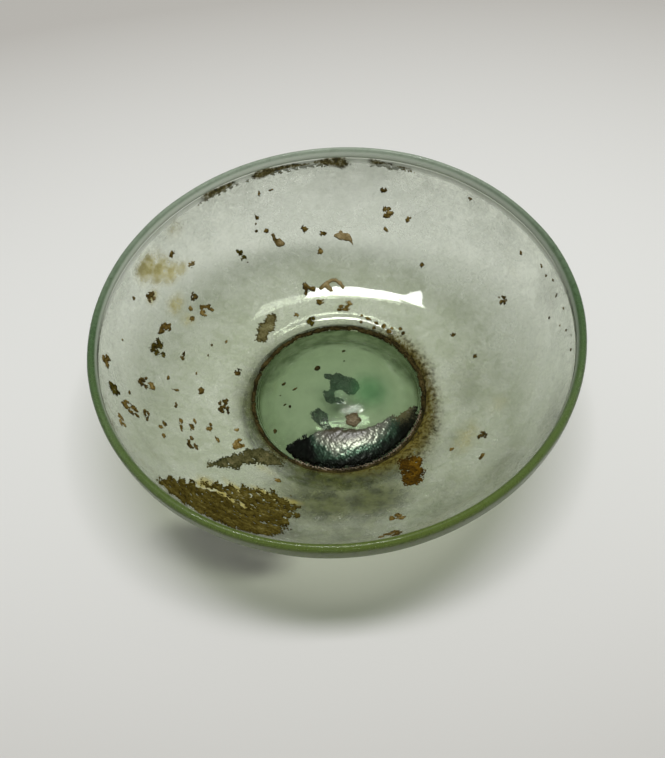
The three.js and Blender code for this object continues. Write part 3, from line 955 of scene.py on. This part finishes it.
def crust(steps, field, over, thickness, relief, seed, gap=earthGap):
    # A thin solid over the places where a field on a grid is above 0, thickest where the field is 1.
    # Its edge is drawn in or out to the line where the field is 0. over(u, v, lift) gives the points.
    u, v = np.meshgrid(*steps, indexing="ij")
    level = field(u, v)
    kept = (level[:-1, :-1] + level[1:, :-1] + level[:-1, 1:] + level[1:, 1:]) > 0
    kept[[0, -1], :] = False
    kept[:, [0, -1]] = False
    for _ in range(3):
        # two cells that only touch at a corner are joined by a third
        touching = kept[:-1, :-1] & kept[1:, 1:] & ~kept[1:, :-1] & ~kept[:-1, 1:]
        kept[1:, :-1] |= touching
        touching = kept[1:, :-1] & kept[:-1, 1:] & ~kept[:-1, :-1] & ~kept[1:, 1:]
        kept[:-1, :-1] |= touching
    slopeU, slopeV = np.gradient(level, *steps)
    steep = np.maximum(np.hypot(slopeU, slopeV), 1e-6)
    framed = np.pad(kept, 1)
    filled = sum(framed[corner].astype(int) for corner in cellCorners)
    most = 0.6 * (steps[0][1] - steps[0][0])
    shift = np.clip(-level / steep, -most, most) * ((filled > 0) & (filled < 4))
    u = u + shift * slopeU / steep
    v = v + shift * slopeV / steep
    height = smoothStep(level, -0.1, 1)
    height = height + relief * height * ripple(together(u, v), reliefSize, seed + 40, 2)
    upper = over(u, v, gap + thickness * height.clip(leastShare, None))
    lower = over(u, v, np.full(u.shape, gap))
    index = np.arange(u.size).reshape(u.shape)
    tops = [index[corner] for corner in cellCorners]
    lows = [top + u.size for top in tops]
    sides = [(kept, tops), (kept, [lows[0], lows[3], lows[2], lows[1]])]
    for neighbour, first, second in cellSides:
        corners = [tops[first], tops[second], lows[second], lows[first]]
        sides.append((kept & ~framed[neighbour], corners))
    faces = np.vstack([together(*(corner[mask] for corner in corners)) for mask, corners in sides])
    points = np.vstack([upper.reshape(-1, 3), lower.reshape(-1, 3)])
    core = np.tile(level.clip(0, 1).ravel(), 2)
    used, faces = np.unique(faces, return_inverse=True)
    faces = faces.reshape(-1, 4)
    points, core = points[used], core[used]
    # faces turned inside out are turned back
    a, b, d = (points[faces[: kept.sum(), i]] for i in (0, 1, 3))
    rise = (upper - lower)[:-1, :-1][kept]
    if (np.cross(b - a, d - a) * rise).sum() < 0:
        faces = faces[:, ::-1]
    return points, faces, core


def joined(name, crusts, first=0):
    # Several crusts as one mesh, each with its own shade from 0 to 1.
    points, faces, cores, shades, start = [], [], [], [], 0
    for i, (somePoints, someFaces, core) in enumerate(crusts, first):
        points.append(somePoints)
        faces.append(someFaces + start)
        cores.append(core)
        shades.append(np.full(len(core), (i * 0.618 + 0.31) % 1))
        start += len(somePoints)
    mesh = meshFrom(name, lean(np.vstack(points)), np.vstack(faces))
    addAttribute(mesh, "core", np.concatenate(cores))
    addAttribute(mesh, "shade", np.concatenate(shades))
    return mesh


def awayFrom(places, start, end):
    # Distance from the straight line between two points.
    run = end - start
    share = ((places - start) @ run / (run @ run)).clip(0, 1)
    return np.linalg.norm(places - start - share[..., None] * run, axis=-1)


def outlineField(outline, softness, ragged, seed, coarse=6.0):
    # The distance inside a closed outline in units of softness, roughened at its edge.
    def field(u, v):
        places = together(u, v)
        nearest = np.full(u.shape, np.inf)
        inside = np.zeros(u.shape, bool)
        for start, end in zip(outline, np.roll(outline, -1, axis=0)):
            run = end - start
            nearest = np.minimum(nearest, awayFrom(places, start, end))
            crosses = (start[1] > v) != (end[1] > v)
            with np.errstate(divide="ignore", invalid="ignore"):
                meets = (v - start[1]) * run[0] / run[1] + start[0]
            inside ^= crosses & (u < meets)
        signed = np.where(inside, nearest, -nearest) / softness
        return signed + ragged * roughness(places, seed, 3, (0.6, coarse), (0.5, coarse / 5))

    return field


def ovalShares(u, v, halfLength, halfHeight, turn):
    # Places as shares of the half length and half height of an oval that is turned by an angle.
    cosine, sine = math.cos(math.radians(turn)), math.sin(math.radians(turn))
    return (u * cosine + v * sine) / halfLength, (v * cosine - u * sine) / halfHeight


def ovalField(halfLength, halfHeight, turn, ragged, seed):
    # 1 in the middle of an oval and 0 at its edge, broken up by ripples.
    def field(u, v):
        along, across = ovalShares(u, v, halfLength, halfHeight, turn)
        rough = roughness(together(u, v), seed, 2, (0.75, 3.0), (0.4, 1.2))
        return 1 - np.hypot(along, across) ** fallOff + ragged * rough

    return field


def lumpField(halfLength, halfHeight, turn, ragged, seed):
    # A few lumps scattered over an oval, 1 in their middles and 0 at their edges, broken up by ripples.
    draw = np.random.default_rng(seed)
    count = 9
    lumps = np.hstack([draw.uniform(-0.8, 0.8, (count, 2)), draw.uniform(0.18, 0.5, (count, 1))])

    def field(u, v):
        along, across = ovalShares(u, v, halfLength, halfHeight, turn)
        level = np.full(u.shape, -9.0)
        for x, y, size in lumps:
            level = np.maximum(level, 1 - (np.hypot(along - x, across - y) / size) ** fallOff)
        return level + ragged * roughness(together(u, v), seed, 2, (0.6, 2.2), (0.5, 0.9))

    return field


def onWall(azimuth, share, behind=False):
    # Places in millimetres round and up the wall, from a middle (azimuth, share), on its inner face or
    # behind it in the fold of the rim.
    def over(u, v, lift):
        height = (share + v / wallLength).clip(0, 1)
        turn = math.radians(azimuth) + u / wallRadius(height)
        return around(overWall(height, -wallThickness(height) - lift if behind else lift), turn)

    return over


def onFloor(u, v, lift):
    return around(overFloor(np.hypot(u, v), lift), np.arctan2(v, u))


def wallPlaces(places, azimuth, share):
    # Places (azimuth, share) as millimetres from a middle, as onWall reads them.
    places = np.asarray(places, float)
    across = np.radians(places[:, 0] - azimuth) * wallRadius(places[:, 1])
    return together(across, (places[:, 1] - share) * wallLength)


def gridOver(outline, cell, margin):
    low, high = outline.min(axis=0) - margin, outline.max(axis=0) + margin
    return np.arange(low[0], high[0], cell), np.arange(low[1], high[1], cell)


def gridTo(reaches, cell):
    # Steps from minus a reach to the reach, both ways.
    return [np.arange(-reach, reach, cell) for reach in reaches]


earth = {
    "brown": ["211a06", "4a3c14", "776430", "a3915f"],
    "tan": ["3a3014", "6b5b34", "93825a", "b0a27a"],
    "dark": ["181304", "352b0e", "5a4a20", "80704a"],
    "olive": ["1d1904", "383109", "544c14", "8a7d48"],
    "sheet": ["251e05", "443b0e", "615825", "9e9564"],
    "streak": ["1f200a", "3e3e20", "5f5c3a", "857a58"],
    "rust": ["1f1602", "3e2c04", "604608", "8c7630"],
    "grey": ["262209", "524c2a", "74704a", "94936e"],
    "groove": ["171306", "2e2810", "4a4020", "6e6140"],
    "beads": ["2e2818", "6b5f4c", "9c8d78", "c9bda8"],
    # soil in the rim's fold, painted paler than it is: painted light for the shade it lies in
    "rimSoilPaintedLight": ["4a3a0c", "8a7024", "b89a4c", "d8c080"],
}


def makeEarth(name, colours, fine=1.0, drawn=False):
    # Dry earth, darker at its edges. Its colour follows its bumps: painted shade in its hollows and painted
    # light on its crumbs.
    finish = Finish(name)
    place = finish.attribute("grain", "Vector") if drawn else finish.place()
    clouds = finish.noise(place, 3.6 * fine, 5.0, 0.62)
    crumbs = finish.noise(place, 0.8 * fine, 5.0, 0.7)
    core = finish.attribute("core")
    shade = finish.attribute("shade")
    # the tone rises with the bumps' noises: painted shade and light over the earth's own mottling
    tone = clouds * 1.3 + crumbs * 0.9 + core * 0.25 + shade * 0.3 - 0.95
    colour = finish.ramp(tone, colours, 0.08, 0.92)
    surface = finish.bump(crumbs + clouds * 0.6, 0.8, 0.4)
    dry = finish.principled(Base_Color=colour, Roughness=0.92, Specular_IOR_Level=0.1, Normal=surface)
    if drawn:
        # thin enough for some light to pass
        dry = finish.mixShaders(finish.ray("Is Shadow Ray"), dry, finish.transparent(paint("8c8a76")))
    return finish.done(dry)


drawnOut = ("sheet", "streak")
earths = {
    name: makeEarth(name + "_earth", colours, drawn=name in drawnOut) for name, colours in earth.items()
}


patchGrid = {"cell": 0.24, "margin": 2.5}

patches = {
    # outlines of places, and a middle, as azimuth and share of the way up
    "soil_sheet_near_left": {
        "earth": "sheet",
        "slot": "olive_soil",
        "thickness": 0.6,
        "ragged": 1.6,
        "holes": 0.72,
        "cuts": [
            # two ends and the width between the edges
            ([(220.5, 0.55), (226.0, 0.47)], 1.8),
            ([(226.0, 0.47), (237.0, 0.45)], 1.4),
            ([(243.0, 0.52), (251.0, 0.5)], 0.8),
        ],
        "shadow": True,
        "middle": (235.0, 0.5),
        "places": [
            (219, 0.82), (217, 0.69), (219, 0.56), (222, 0.45), (228, 0.34), (236, 0.27), (244, 0.26),
            (251, 0.32), (251, 0.46), (250, 0.6), (244, 0.7), (237, 0.74), (230, 0.78), (224, 0.82),
        ],
    },
    "soil_streak_near_left": {
        "earth": "streak",
        "slot": "brown_soil",
        "thickness": 0.5,
        "ragged": 0.9,
        "holes": 1.5,
        "middle": (219.0, 0.2),
        "places": [
            (214, 0.4), (212.5, 0.32), (212.5, 0.24), (213, 0.175), (214, 0.125), (216, 0.08),
            (220, 0.055), (226, 0.045), (232, 0.05), (233, 0.08), (228, 0.11), (225, 0.14),
            (220.5, 0.17), (220, 0.25), (216.5, 0.33),
        ],
    },
    "soil_patch_near_right": {
        "earth": "rust",
        "slot": "brown_soil",
        "thickness": 0.5,
        "ragged": 1.2,
        "holes": 1.3,
        "middle": (304.0, 0.17),
        "places": [
            (303, 0.09), (309, 0.1), (312, 0.15), (308, 0.21), (303, 0.26), (298, 0.26), (297, 0.2),
            (299, 0.14),
        ],
    },
    "soil_patch_far_left": {
        "earth": "grey",
        "slot": "brown_soil",
        "thickness": 0.5,
        "ragged": 0.8,
        "middle": (130.0, 0.14),
        "places": [
            (121, 0.19), (122, 0.15), (127, 0.11), (134, 0.09), (140, 0.1), (138, 0.14), (134, 0.17),
            (127, 0.19),
        ],
    },
}


def brokenUp(field, patch, seed):
    # Holes drawn out round the wall, and straight cuts.
    cuts = [(wallPlaces(ends, *patch["middle"]), width) for ends, width in patch.get("cuts", [])]

    def broken(u, v):
        place = together(u * 0.4, v)
        level = field(u, v)
        if "holes" in patch:
            holes = roughness(place, seed, 2, (0.8, 2.6), (0.6, 1.1))
            level = np.minimum(level, (patch["holes"] - holes) * 1.4)
        for ends, width in cuts:
            gap = (awayFrom(together(u, v), *ends) - width / 2) / 0.8
            level = np.minimum(level, gap + 0.8 * ripple(place, 1.8, seed + 2, 2))
        return level

    return broken


def makePatches():
    for name, patch in patches.items():
        outline = closedSpline(wallPlaces(patch["places"], *patch["middle"]), 4)
        seed = len(patch["places"])
        field = brokenUp(outlineField(outline, 1.3, patch["ragged"], seed), patch, seed + 70)
        steps = gridOver(outline, **patchGrid)
        made = crust(steps, field, onWall(*patch["middle"]), patch["thickness"], 0.25, seed)
        mesh = joined(name, [made])
        addGrain(mesh, "earth")
        piece = addPiece(name + "_crust", mesh, earths[patch["earth"]], [name])
        piece.visible_shadow = patch.get("shadow", False)


makePatches()

fleckLook = {"cell": 0.17, "thickness": 0.45, "ragged": 0.5}
speckLook = {"cell": 0.17, "thickness": 0.3, "ragged": 0.6}

flecks = {
    # azimuth, share of the way up, length round the wall, height up it, turn
    "far": [
        (70.5, 0.693, 4.6, 5.5, 0), (84.5, 0.535, 9.5, 6, -25), (107, 0.567, 5, 7.4, -30),
        (120.5, 0.575, 3.5, 5.5, 0),
    ],
    "middle": [
        (83.5, 0.13, 7.6, 5, 0), (89.5, 0.261, 10.5, 4.5, 10), (100.5, 0.262, 5.8, 6.5, 0),
        (104, 0.06, 3.6, 5.2, 0),
    ],
    "left": [
        (143.5, 0.444, 7.2, 6, 30), (154.5, 0.743, 5.2, 5.6, 0), (159, 0.572, 8.8, 5, 20),
        (167, 0.562, 8, 8, 0), (181.5, 0.9, 7, 7.5, 0), (181, 0.637, 6.4, 6.2, 0),
        (185, 0.171, 8.5, 5.2, 0), (189, 0.834, 5.7, 6.6, 0), (192.5, 0.727, 5.7, 9.8, 30),
        (203, 0.408, 7.5, 5, 0), (208.5, 0.169, 5.8, 6.4, 0),
    ],
    "right": [
        (21.5, 0.598, 5.2, 4.2, 0), (331.5, 0.385, 4.3, 4, 0),
    ],
    "near": [
        (286, 0.438, 6, 5.2, 0), (281, 0.604, 8.5, 5, 0),
    ],
}

drawnFlecks = {
    # outlines of their own, in millimetres round and up the wall
    "soil_fleck_far_2": [
        (4.6, 0.7), (2.4, 2.1), (1, 3), (0, 1.9), (-1.9, 1.7), (-3.8, 0.2), (-4.8, -3.4), (-3.8, -2.8),
        (-2.4, -1.9), (-0.1, -1.7), (3, -0.8),
    ],
    "soil_fleck_far_3": [
        (2.3, 4), (1, 3.9), (0.7, 1.3), (-1.3, 0.4), (-2.6, -2.6), (0.9, -2.8), (2, -0.4), (2.5, 2.1),
    ],
    "soil_fleck_middle_2": [
        (6, -0.5), (4.3, 0.9), (1.9, 2.4), (-1.4, 3.2), (-4.3, 1.8), (-5.8, -0.9), (-5, -2), (-3.3, 0),
        (-1.4, 1.4), (1, 0.5), (-0.5, -2.5), (1, -3.2), (3.3, -1.4), (5.2, -2.2),
    ],
}


def oneFleck(azimuth, share, length, height, turn, look, seed):
    size = max(length, height)
    reach = 0.5 * size * (1 + look["ragged"])
    steps = gridTo((reach, reach), look["cell"])
    shape = lumpField if size > 4 else ovalField
    field = shape(length / 2, height / 2, turn, look["ragged"], seed)
    return crust(steps, field, onWall(azimuth, share), look["thickness"], 0.3, seed)


def drawnFleck(azimuth, share, outline, seed):
    outline = closedSpline(outline, 4)
    field = outlineField(outline, 0.7, 0.3, seed, 2.4)
    steps = gridOver(outline, fleckLook["cell"], 0.8)
    return crust(steps, field, onWall(azimuth, share), 0.4, 0.2, seed)


def makeFlecks():
    seed = 10
    for side, places in flecks.items():
        for i, place in enumerate(places):
            node = f"soil_fleck_{side}_{i + 1}"
            seed += 2
            if node in drawnFlecks:
                made = drawnFleck(*place[:2], drawnFlecks[node], seed)
                kind = "tan"
            else:
                made = oneFleck(*place, fleckLook, seed)
                kind = ("brown", "dark", "brown", "olive")[i % 4]
            mesh = joined(node, [made], first=seed)
            piece = addPiece(node + "_crust", mesh, earths[kind], [node])
            piece.visible_shadow = False


makeFlecks()

specks = {
    # smaller specks: azimuth, share, length, height
    "far": [
        (72.5, 0.82, 2.6, 3), (63.5, 0.687, 2.4, 2.9), (97.5, 0.598, 2.9, 3.4),
        (91.5, 0.557, 2.8, 2.4), (93, 0.462, 2.7, 3.2), (110, 0.642, 2.2, 2.4),
        (111.5, 0.734, 1.6, 2.6), (112.5, 0.7, 1.2, 2), (113, 0.66, 1.4, 1.6), (109, 0.86, 1.2, 2.6),
        (105.5, 0.86, 2.2, 0.9), (54, 0.471, 2, 2.2), (70, 0.6, 2.2, 2), (120, 0.52, 1.3, 1.2),
    ],
    "middle": [
        (96.5, 0.165, 3.6, 3), (111, 0.125, 2, 2.6), (72.5, 0.079, 1.7, 1.6), (67.5, 0.072, 2.8, 1.3),
        (72, 0.045, 1.8, 1.6), (61.5, 0.061, 2.2, 1.4), (62, 0.03, 1.6, 1.4), (56.5, 0.059, 2.4, 2.2),
        (52, 0.045, 2.6, 2.4), (51, 0.069, 1.6, 1.4), (46.5, 0.09, 1.8, 1.4), (43.5, 0.079, 1.8, 1.8),
    ],
    "left": [
        (159, 0.833, 1.7, 1.7), (137, 0.688, 3.2, 2.2), (140.5, 0.811, 3, 2.4),
        (143.5, 0.547, 3.4, 3.4), (147.5, 0.519, 2.4, 2.2), (150, 0.478, 2.6, 2.4),
        (165, 0.426, 4.4, 2.6), (181.5, 0.572, 3.4, 4), (193, 0.628, 5.4, 3.4),
        (198.5, 0.838, 5.6, 4.4), (177.5, 0.289, 3.8, 2.6), (162.5, 0.115, 3.6, 2.6),
        (193, 0.418, 4, 1.5), (196, 0.271, 5.6, 3.2), (237, 0.169, 3, 2), (172, 0.8, 1.1, 1.1),
        (176, 0.48, 2.4, 1.4), (170, 0.33, 1.4, 1.1), (160, 0.3, 1.6, 1.3), (195, 0.52, 2.6, 2.2),
        (200, 0.55, 2.4, 2), (187, 0.72, 2, 1.5), (193, 0.34, 3.6, 1.2), (196, 0.429, 3.8, 1.4),
        (195.5, 0.365, 3.4, 2.2), (196.5, 0.551, 2.2, 2), (202.5, 0.251, 3.8, 1.4),
        (200, 0.128, 1.6, 2.2), (180, 0.435, 1.2, 3), (186.5, 0.432, 2.8, 1.6),
        (149.5, 0.252, 1.6, 1.4), (154.5, 0.308, 1.2, 1),
    ],
    "right": [
        (24.5, 0.274, 2.2, 2.2), (26, 0.856, 2, 1.8), (322.5, 0.449, 3.4, 2.2), (9.5, 0.321, 2, 2),
        (323, 0.255, 2, 2), (15, 0.9, 1.2, 1.4), (5, 0.8, 1.3, 1.2), (12, 0.93, 1.6, 1.2),
        (8, 0.9, 1.2, 2), (3, 0.92, 1.4, 1), (357, 0.9, 1.2, 1.6), (354, 0.94, 1, 1),
        (18, 0.91, 2.4, 1.4), (350, 0.93, 1.3, 1.3), (0, 0.86, 1, 1), (47, 0.93, 1.8, 1.4),
    ],
}


def makeSpecks():
    seed = 300
    for side, places in specks.items():
        crusts = []
        for place in places:
            seed += 2
            crusts.append(oneFleck(*place, 0, speckLook, seed))
        mesh = joined(f"specks_{side}", crusts)
        piece = addPiece(f"soil_specks_{side}", mesh, earths["brown"], [])
        piece.visible_shadow = False


makeSpecks()

foldSoil = {
    "cell": 0.22,
    "margin": 1.0,
    "thickness": 0.6,
    "ragged": 0.9,
    "low": 0.945,
    "high": 0.992,
    # how much longer and higher than its place each deposit is
    "longer": 1.05,
    "higher": 1.1,
    "spans": {
        "rim_soil_left": (114.0, 126.0),
        "rim_soil_middle": (82.0, 111.0),
        "rim_soil_right": (65.0, 77.0),
    },
}


def makeFoldSoil():
    share = (foldSoil["low"] + foldSoil["high"]) / 2
    half = (foldSoil["high"] - foldSoil["low"]) / 2 * wallLength
    margin = foldSoil["margin"]
    for i, (name, (start, end)) in enumerate(foldSoil["spans"].items()):
        reach = math.radians(end - start) / 2 * foldInside
        steps = gridTo((reach + margin, half + margin), foldSoil["cell"])
        sizes = (reach * foldSoil["longer"], half * foldSoil["higher"])
        field = ovalField(*sizes, 0, foldSoil["ragged"], 70 + 3 * i)
        over = onWall((start + end) / 2, share, behind=True)
        made = crust(steps, field, over, foldSoil["thickness"], 0.3, i)
        addPiece(name + "_crust", joined(name, [made]), earths["rimSoilPaintedLight"], [name])


makeFoldSoil()
print("earth on the wall made")

grooveSoil = {
    "turns": 900,
    "rows": 44,
    "thickness": 0.55,
    "gap": 0.02,
    # the path across the groove, from the floor's edge to the wall's shoulder: radius and height
    "path": [(35.2, 9.35), (36.2, 8.6), (37.2, 8.15), (38.3, 8.2), (39.1, 8.9), (39.8, 10.1), (41.2, 11.0)],
    "halfWidth": 1.15,
    "wider": 0.2,  # on the right, and narrower on the left
    "shift": -0.35,
    "ragged": 0.6,
}

beads = {
    "turns": 1500,
    "rows": 15,
    "thickness": 0.7,
    "gap": 0.4,
    "row": -1.5,
    "halfWidth": 0.75,
    "reach": 1.2,
    "span": (228.0, 240.0, 338.0, 358.0),  # where they start, are full, fall off and end
}


def makeGrooveSoil():
    # A ring of earth that bridges the groove, wider towards +X, and a row of crumbs on it.
    path = splineThrough(grooveSoil["path"], 200)
    slope = slopeOf(path)
    half = lengthOf(path) / 2
    places = np.linspace(-half, half, len(path))
    reach = math.pi * grooveRadius

    def over(u, v, lift):
        return around(beside(v, places, path, slope, lift), u / grooveRadius)

    def field(u, v):
        azimuth = u / grooveRadius
        place = together(grooveRadius * np.cos(azimuth), grooveRadius * np.sin(azimuth), v)
        width = grooveSoil["halfWidth"] * (1 + grooveSoil["wider"] * np.cos(azimuth))
        rough = roughness(place, 91, 2, (0.6, 4.0), (0.5, 1.1))
        return 1 - np.abs((v - grooveSoil["shift"]) / width) ** fallOff + grooveSoil["ragged"] * rough

    def crumbs(u, v):
        azimuth = np.degrees(u / grooveRadius) % 360
        row = 1 - ((v - beads["row"]) / beads["halfWidth"]) ** 2
        outside = 1 - within(azimuth, *beads["span"])
        return row - 2 * outside - 0.35 + 0.75 * ripple(together(u, v), 1.25, 95, 1)

    across = np.linspace(-reach, reach, grooveSoil["turns"])
    along = np.linspace(-half, half, grooveSoil["rows"])
    made = crust((across, along), field, over, grooveSoil["thickness"], 0.35, 93, grooveSoil["gap"])
    mesh = joined("groove_soil", [made])
    addPiece("groove_soil_ring", mesh, earths["groove"], ["groove_soil"])

    across = np.linspace(-reach, reach, beads["turns"])
    along = np.linspace(beads["row"] - beads["reach"], beads["row"] + beads["reach"], beads["rows"])
    made = crust((across, along), crumbs, over, beads["thickness"], 0.2, 96, beads["gap"])
    addPiece("groove_crumbs", joined("groove_crumbs", [made]), earths["beads"], [])


makeGrooveSoil()

crustOfFloor = {
    "cell": 0.26,
    "thickness": 0.65,
    "ragged": 0.75,
    # azimuth and share of the floor's radius
    "places": [
        (228, 0.965), (226, 0.93), (228, 0.88), (235, 0.755), (247, 0.635), (261, 0.57), (280, 0.6),
        (296, 0.64), (310, 0.68), (322, 0.735), (335, 0.83), (345, 0.95), (334, 0.985), (322, 0.985),
        (308, 0.985), (294, 0.985), (280, 0.985), (266, 0.985), (252, 0.985), (239, 0.985),
    ],
    # colours from the middle outwards, the silver partly a painted highlight and the black by the groove
    # painted shade, and the shares of the radius they start at and spread over
    "rows": ["3f3a26", "58574a", "686a5c", "7a8070", "38503e", "161f16", "0a0c06"],
    "rowStart": 0.6,
    "rowSpread": 0.38,
    # azimuths: the middle, where the silver painted highlight is strongest, the distances from it that go
    # further on towards the black painted shade, the darker left end, the brown right end
    "middle": 285,
    "ends": (25, 55),
    "leftEnd": (228, 254),
    "brownStart": (306, 340),
    "brown": "4f4c2c",
    "brownFade": (0.8, 0.97),  # shares of the radius
}


def makeCrustFinish():
    # Layers of weathered glass that flake and shine: brownish lilac above, silver, blue-green, then black.
    # The silver stands partly as a painted highlight and the black by the groove as painted shade.
    finish = Finish("silver_crust")
    place = finish.place()
    clouds = finish.noise(place, 6.0, 4.0, 0.6)
    lumps = finish.noise(place, 0.7, 5.0, 0.7)
    tone = finish.attribute("zone") + (clouds - 0.5) * 0.7 + (lumps - 0.5) * 0.4
    brown = finish.between(finish.attribute("brown") + (lumps - 0.5) * 1.2, 0.3, 0.8)
    colour = finish.blend(brown, finish.ramp(tone, crustOfFloor["rows"]), paint(crustOfFloor["brown"]))
    shine = finish.between(tone, 0.1, 0.5) * (1 - brown)
    layers = finish.principled(
        Base_Color=colour,
        Metallic=shine * 0.75,
        Roughness=0.23 + lumps * 0.18,
        Normal=finish.bump(lumps * 0.5 + clouds, 0.14, 0.22),
    )
    return finish.done(layers)


def polar(places, radius):
    # Places (azimuth, share of a radius) as x and y.
    places = np.asarray(places, float)
    turn = np.radians(places[:, 0])
    reach = radius * places[:, 1]
    return together(reach * np.cos(turn), reach * np.sin(turn))


def makeFloorCrust():
    outline = closedSpline(polar(crustOfFloor["places"], floorEdge), 5)
    field = outlineField(outline, 1.2, crustOfFloor["ragged"], 31, 4.0)
    steps = gridOver(outline, crustOfFloor["cell"], 1.5)

    def over(u, v, lift):
        # nothing past the floor's edge
        inside = np.minimum(1, 0.99 * floorEdge / np.maximum(np.hypot(u, v), 1))
        return onFloor(u * inside, v * inside, lift)

    mesh = joined("floor_crust", [crust(steps, field, over, crustOfFloor["thickness"], 0.09, 33)])
    points = pointsOf(mesh) / millimetre
    reach = np.hypot(points[:, 0], points[:, 1]) / floorEdge
    azimuth = np.degrees(np.arctan2(points[:, 1], points[:, 0])) % 360
    # the zone runs from the silver, partly a painted highlight, to the black painted shade by the groove
    zone = (reach - crustOfFloor["rowStart"]) / crustOfFloor["rowSpread"]
    fromMiddle = np.abs(azimuth - crustOfFloor["middle"])
    zone = zone + 0.25 * smoothStep(fromMiddle, *crustOfFloor["ends"])
    zone += 0.35 * (1 - smoothStep(azimuth, *crustOfFloor["leftEnd"]))
    addAttribute(mesh, "zone", zone.clip(0, 1))
    fade = 1 - 0.6 * smoothStep(reach, *crustOfFloor["brownFade"])
    addAttribute(mesh, "brown", smoothStep(azimuth, *crustOfFloor["brownStart"]) * fade)
    addPiece("floor_crust_layers", mesh, makeCrustFinish(), ["floor_crust"])


makeFloorCrust()

spot = {
    "middle": (5.5, -17.8),
    "radius": 3.3,
    "reach": 5.0,
    "cell": 0.14,
    "thickness": 0.35,
    # height of the burst rings and the distance between them
    "ringHeight": 0.12,
    "ringSpace": 1.3,
    "colours": ["3d3625", "655b44", "867a62", "aaa088"],
}


def makeSpot():
    # A blister whose skin has burst in rings.
    x, y = spot["middle"]
    steps = gridTo((spot["reach"], spot["reach"]), spot["cell"])

    def over(u, v, lift):
        rings = 1 + np.cos(np.hypot(u, v) * 2 * np.pi / spot["ringSpace"])
        return onFloor(x + u, y + v, lift + spot["ringHeight"] * rings)

    field = ovalField(spot["radius"], spot["radius"] * 0.95, 0, 0.2, 55)
    mesh = joined("floor_spot", [crust(steps, field, over, spot["thickness"], 0.4, 56)])
    finish = makeEarth("blister", spot["colours"], 0.7)
    addPiece("floor_spot_crust", mesh, finish, ["floor_spot"])


makeSpot()

floorSpeckLook = {"cell": 0.14, "reach": 3.0, "turn": 25, "thickness": 0.25, "ragged": 0.35}

floorSpecks = [
    # x, y, length, height
    (-23.8, 4.2, 1.8, 1.6), (-18.9, 0, 2.6, 1), (-23.7, -6.8, 1.4, 0.8), (-21.6, -8.2, 1.2, 1.4),
    (-28.6, -17.3, 1.6, 2), (3.8, 18.8, 2.2, 1.4), (3.6, 12.5, 0.9, 0.9), (-25.5, -1.5, 0.8, 0.6),
    (-8.5, 9.5, 3.2, 2.6), (26, 8, 0.9, 0.7),
]


def makeFloorSpecks():
    crusts = []
    look = floorSpeckLook
    steps = gridTo((look["reach"], look["reach"]), look["cell"])
    for i, (x, y, length, height) in enumerate(floorSpecks):

        def over(u, v, lift, x=x, y=y):
            return onFloor(x + u, y + v, lift)

        field = ovalField(length / 2, height / 2, look["turn"], look["ragged"], 400 + 2 * i)
        crusts.append(crust(steps, field, over, look["thickness"], 0.3, i))
    addPiece("soil_specks_floor", joined("floor_specks", crusts), earths["groove"], [])


makeFloorSpecks()

wadGrid = {"cell": 0.2, "margin": 1.5}
wadGap = -0.35  # they reach a little into the floor's glass

wads = {
    "pontil_scar": {
        "thickness": 2.8,
        "seed": 61,
        "outline": [
            (-5.3, 5.9), (-0.8, 6.5), (4, 5.1), (8.6, 1.5), (8.8, -3.6), (5.1, -5.1), (0.9, -2.4),
            (-1.4, -2.8), (-1.6, -5.4), (1, -6.8), (1.3, -8.8), (-3.9, -8.9), (-6.3, -6.6),
            (-6.2, -3.1), (-3.6, -1), (-3.4, 2.6),
        ],
    },
    "pontil_drop": {
        "thickness": 2.2,
        "seed": 63,
        "outline": [
            (-12.4, -12.6), (-9.7, -10.7), (-6.4, -13), (-4.8, -16.9), (-3.3, -21), (-2.4, -23.3),
            (-4.7, -23), (-8.1, -20), (-11.7, -16),
        ],
    },
}


def underFloor(u, v, lift):
    return onFloor(u, v, -bowl["floorThickness"] - lift)


def makeWads():
    # Thick drops of glass, smooth and rounded, left under the floor.
    finish = makeGlass("pontil_glass")
    for node, wad in wads.items():
        outline = closedSpline(wad["outline"], 5)
        field = outlineField(outline, 2.2, 0.25, wad["seed"], 5.0)
        steps = gridOver(outline, **wadGrid)
        made = crust(steps, field, underFloor, wad["thickness"], 0.12, wad["seed"], wadGap)
        mesh = joined(node, [made])
        addGrain(mesh, "wads")
        addPiece(node + "_glass", mesh, finish, [node])


makeWads()
print("floor and groove dressed")

mirrored = {
    "floorPanel": ["floor_dome_glass", "floor_spot_crust"],
    "crustPanel": ["floor_crust_layers"],
}


def shareLamps():
    # Two small panels shine on their own pieces only, and the other two on all the rest.
    special = [name for names in mirrored.values() for name in names]
    for lamp, names, state in (
        ("panel", special, "EXCLUDE"),
        ("panelEnd", special, "EXCLUDE"),
        ("floorPanel", mirrored["floorPanel"], "INCLUDE"),
        ("crustPanel", mirrored["crustPanel"], "INCLUDE"),
    ):
        lit = bpy.data.collections.new(lamp)
        for name in names:
            lit.objects.link(bpy.data.objects[name])
        for member in lit.collection_objects:
            member.light_linking.link_state = state
        bpy.data.objects[lamp].light_linking.receiver_collection = lit


shareLamps()
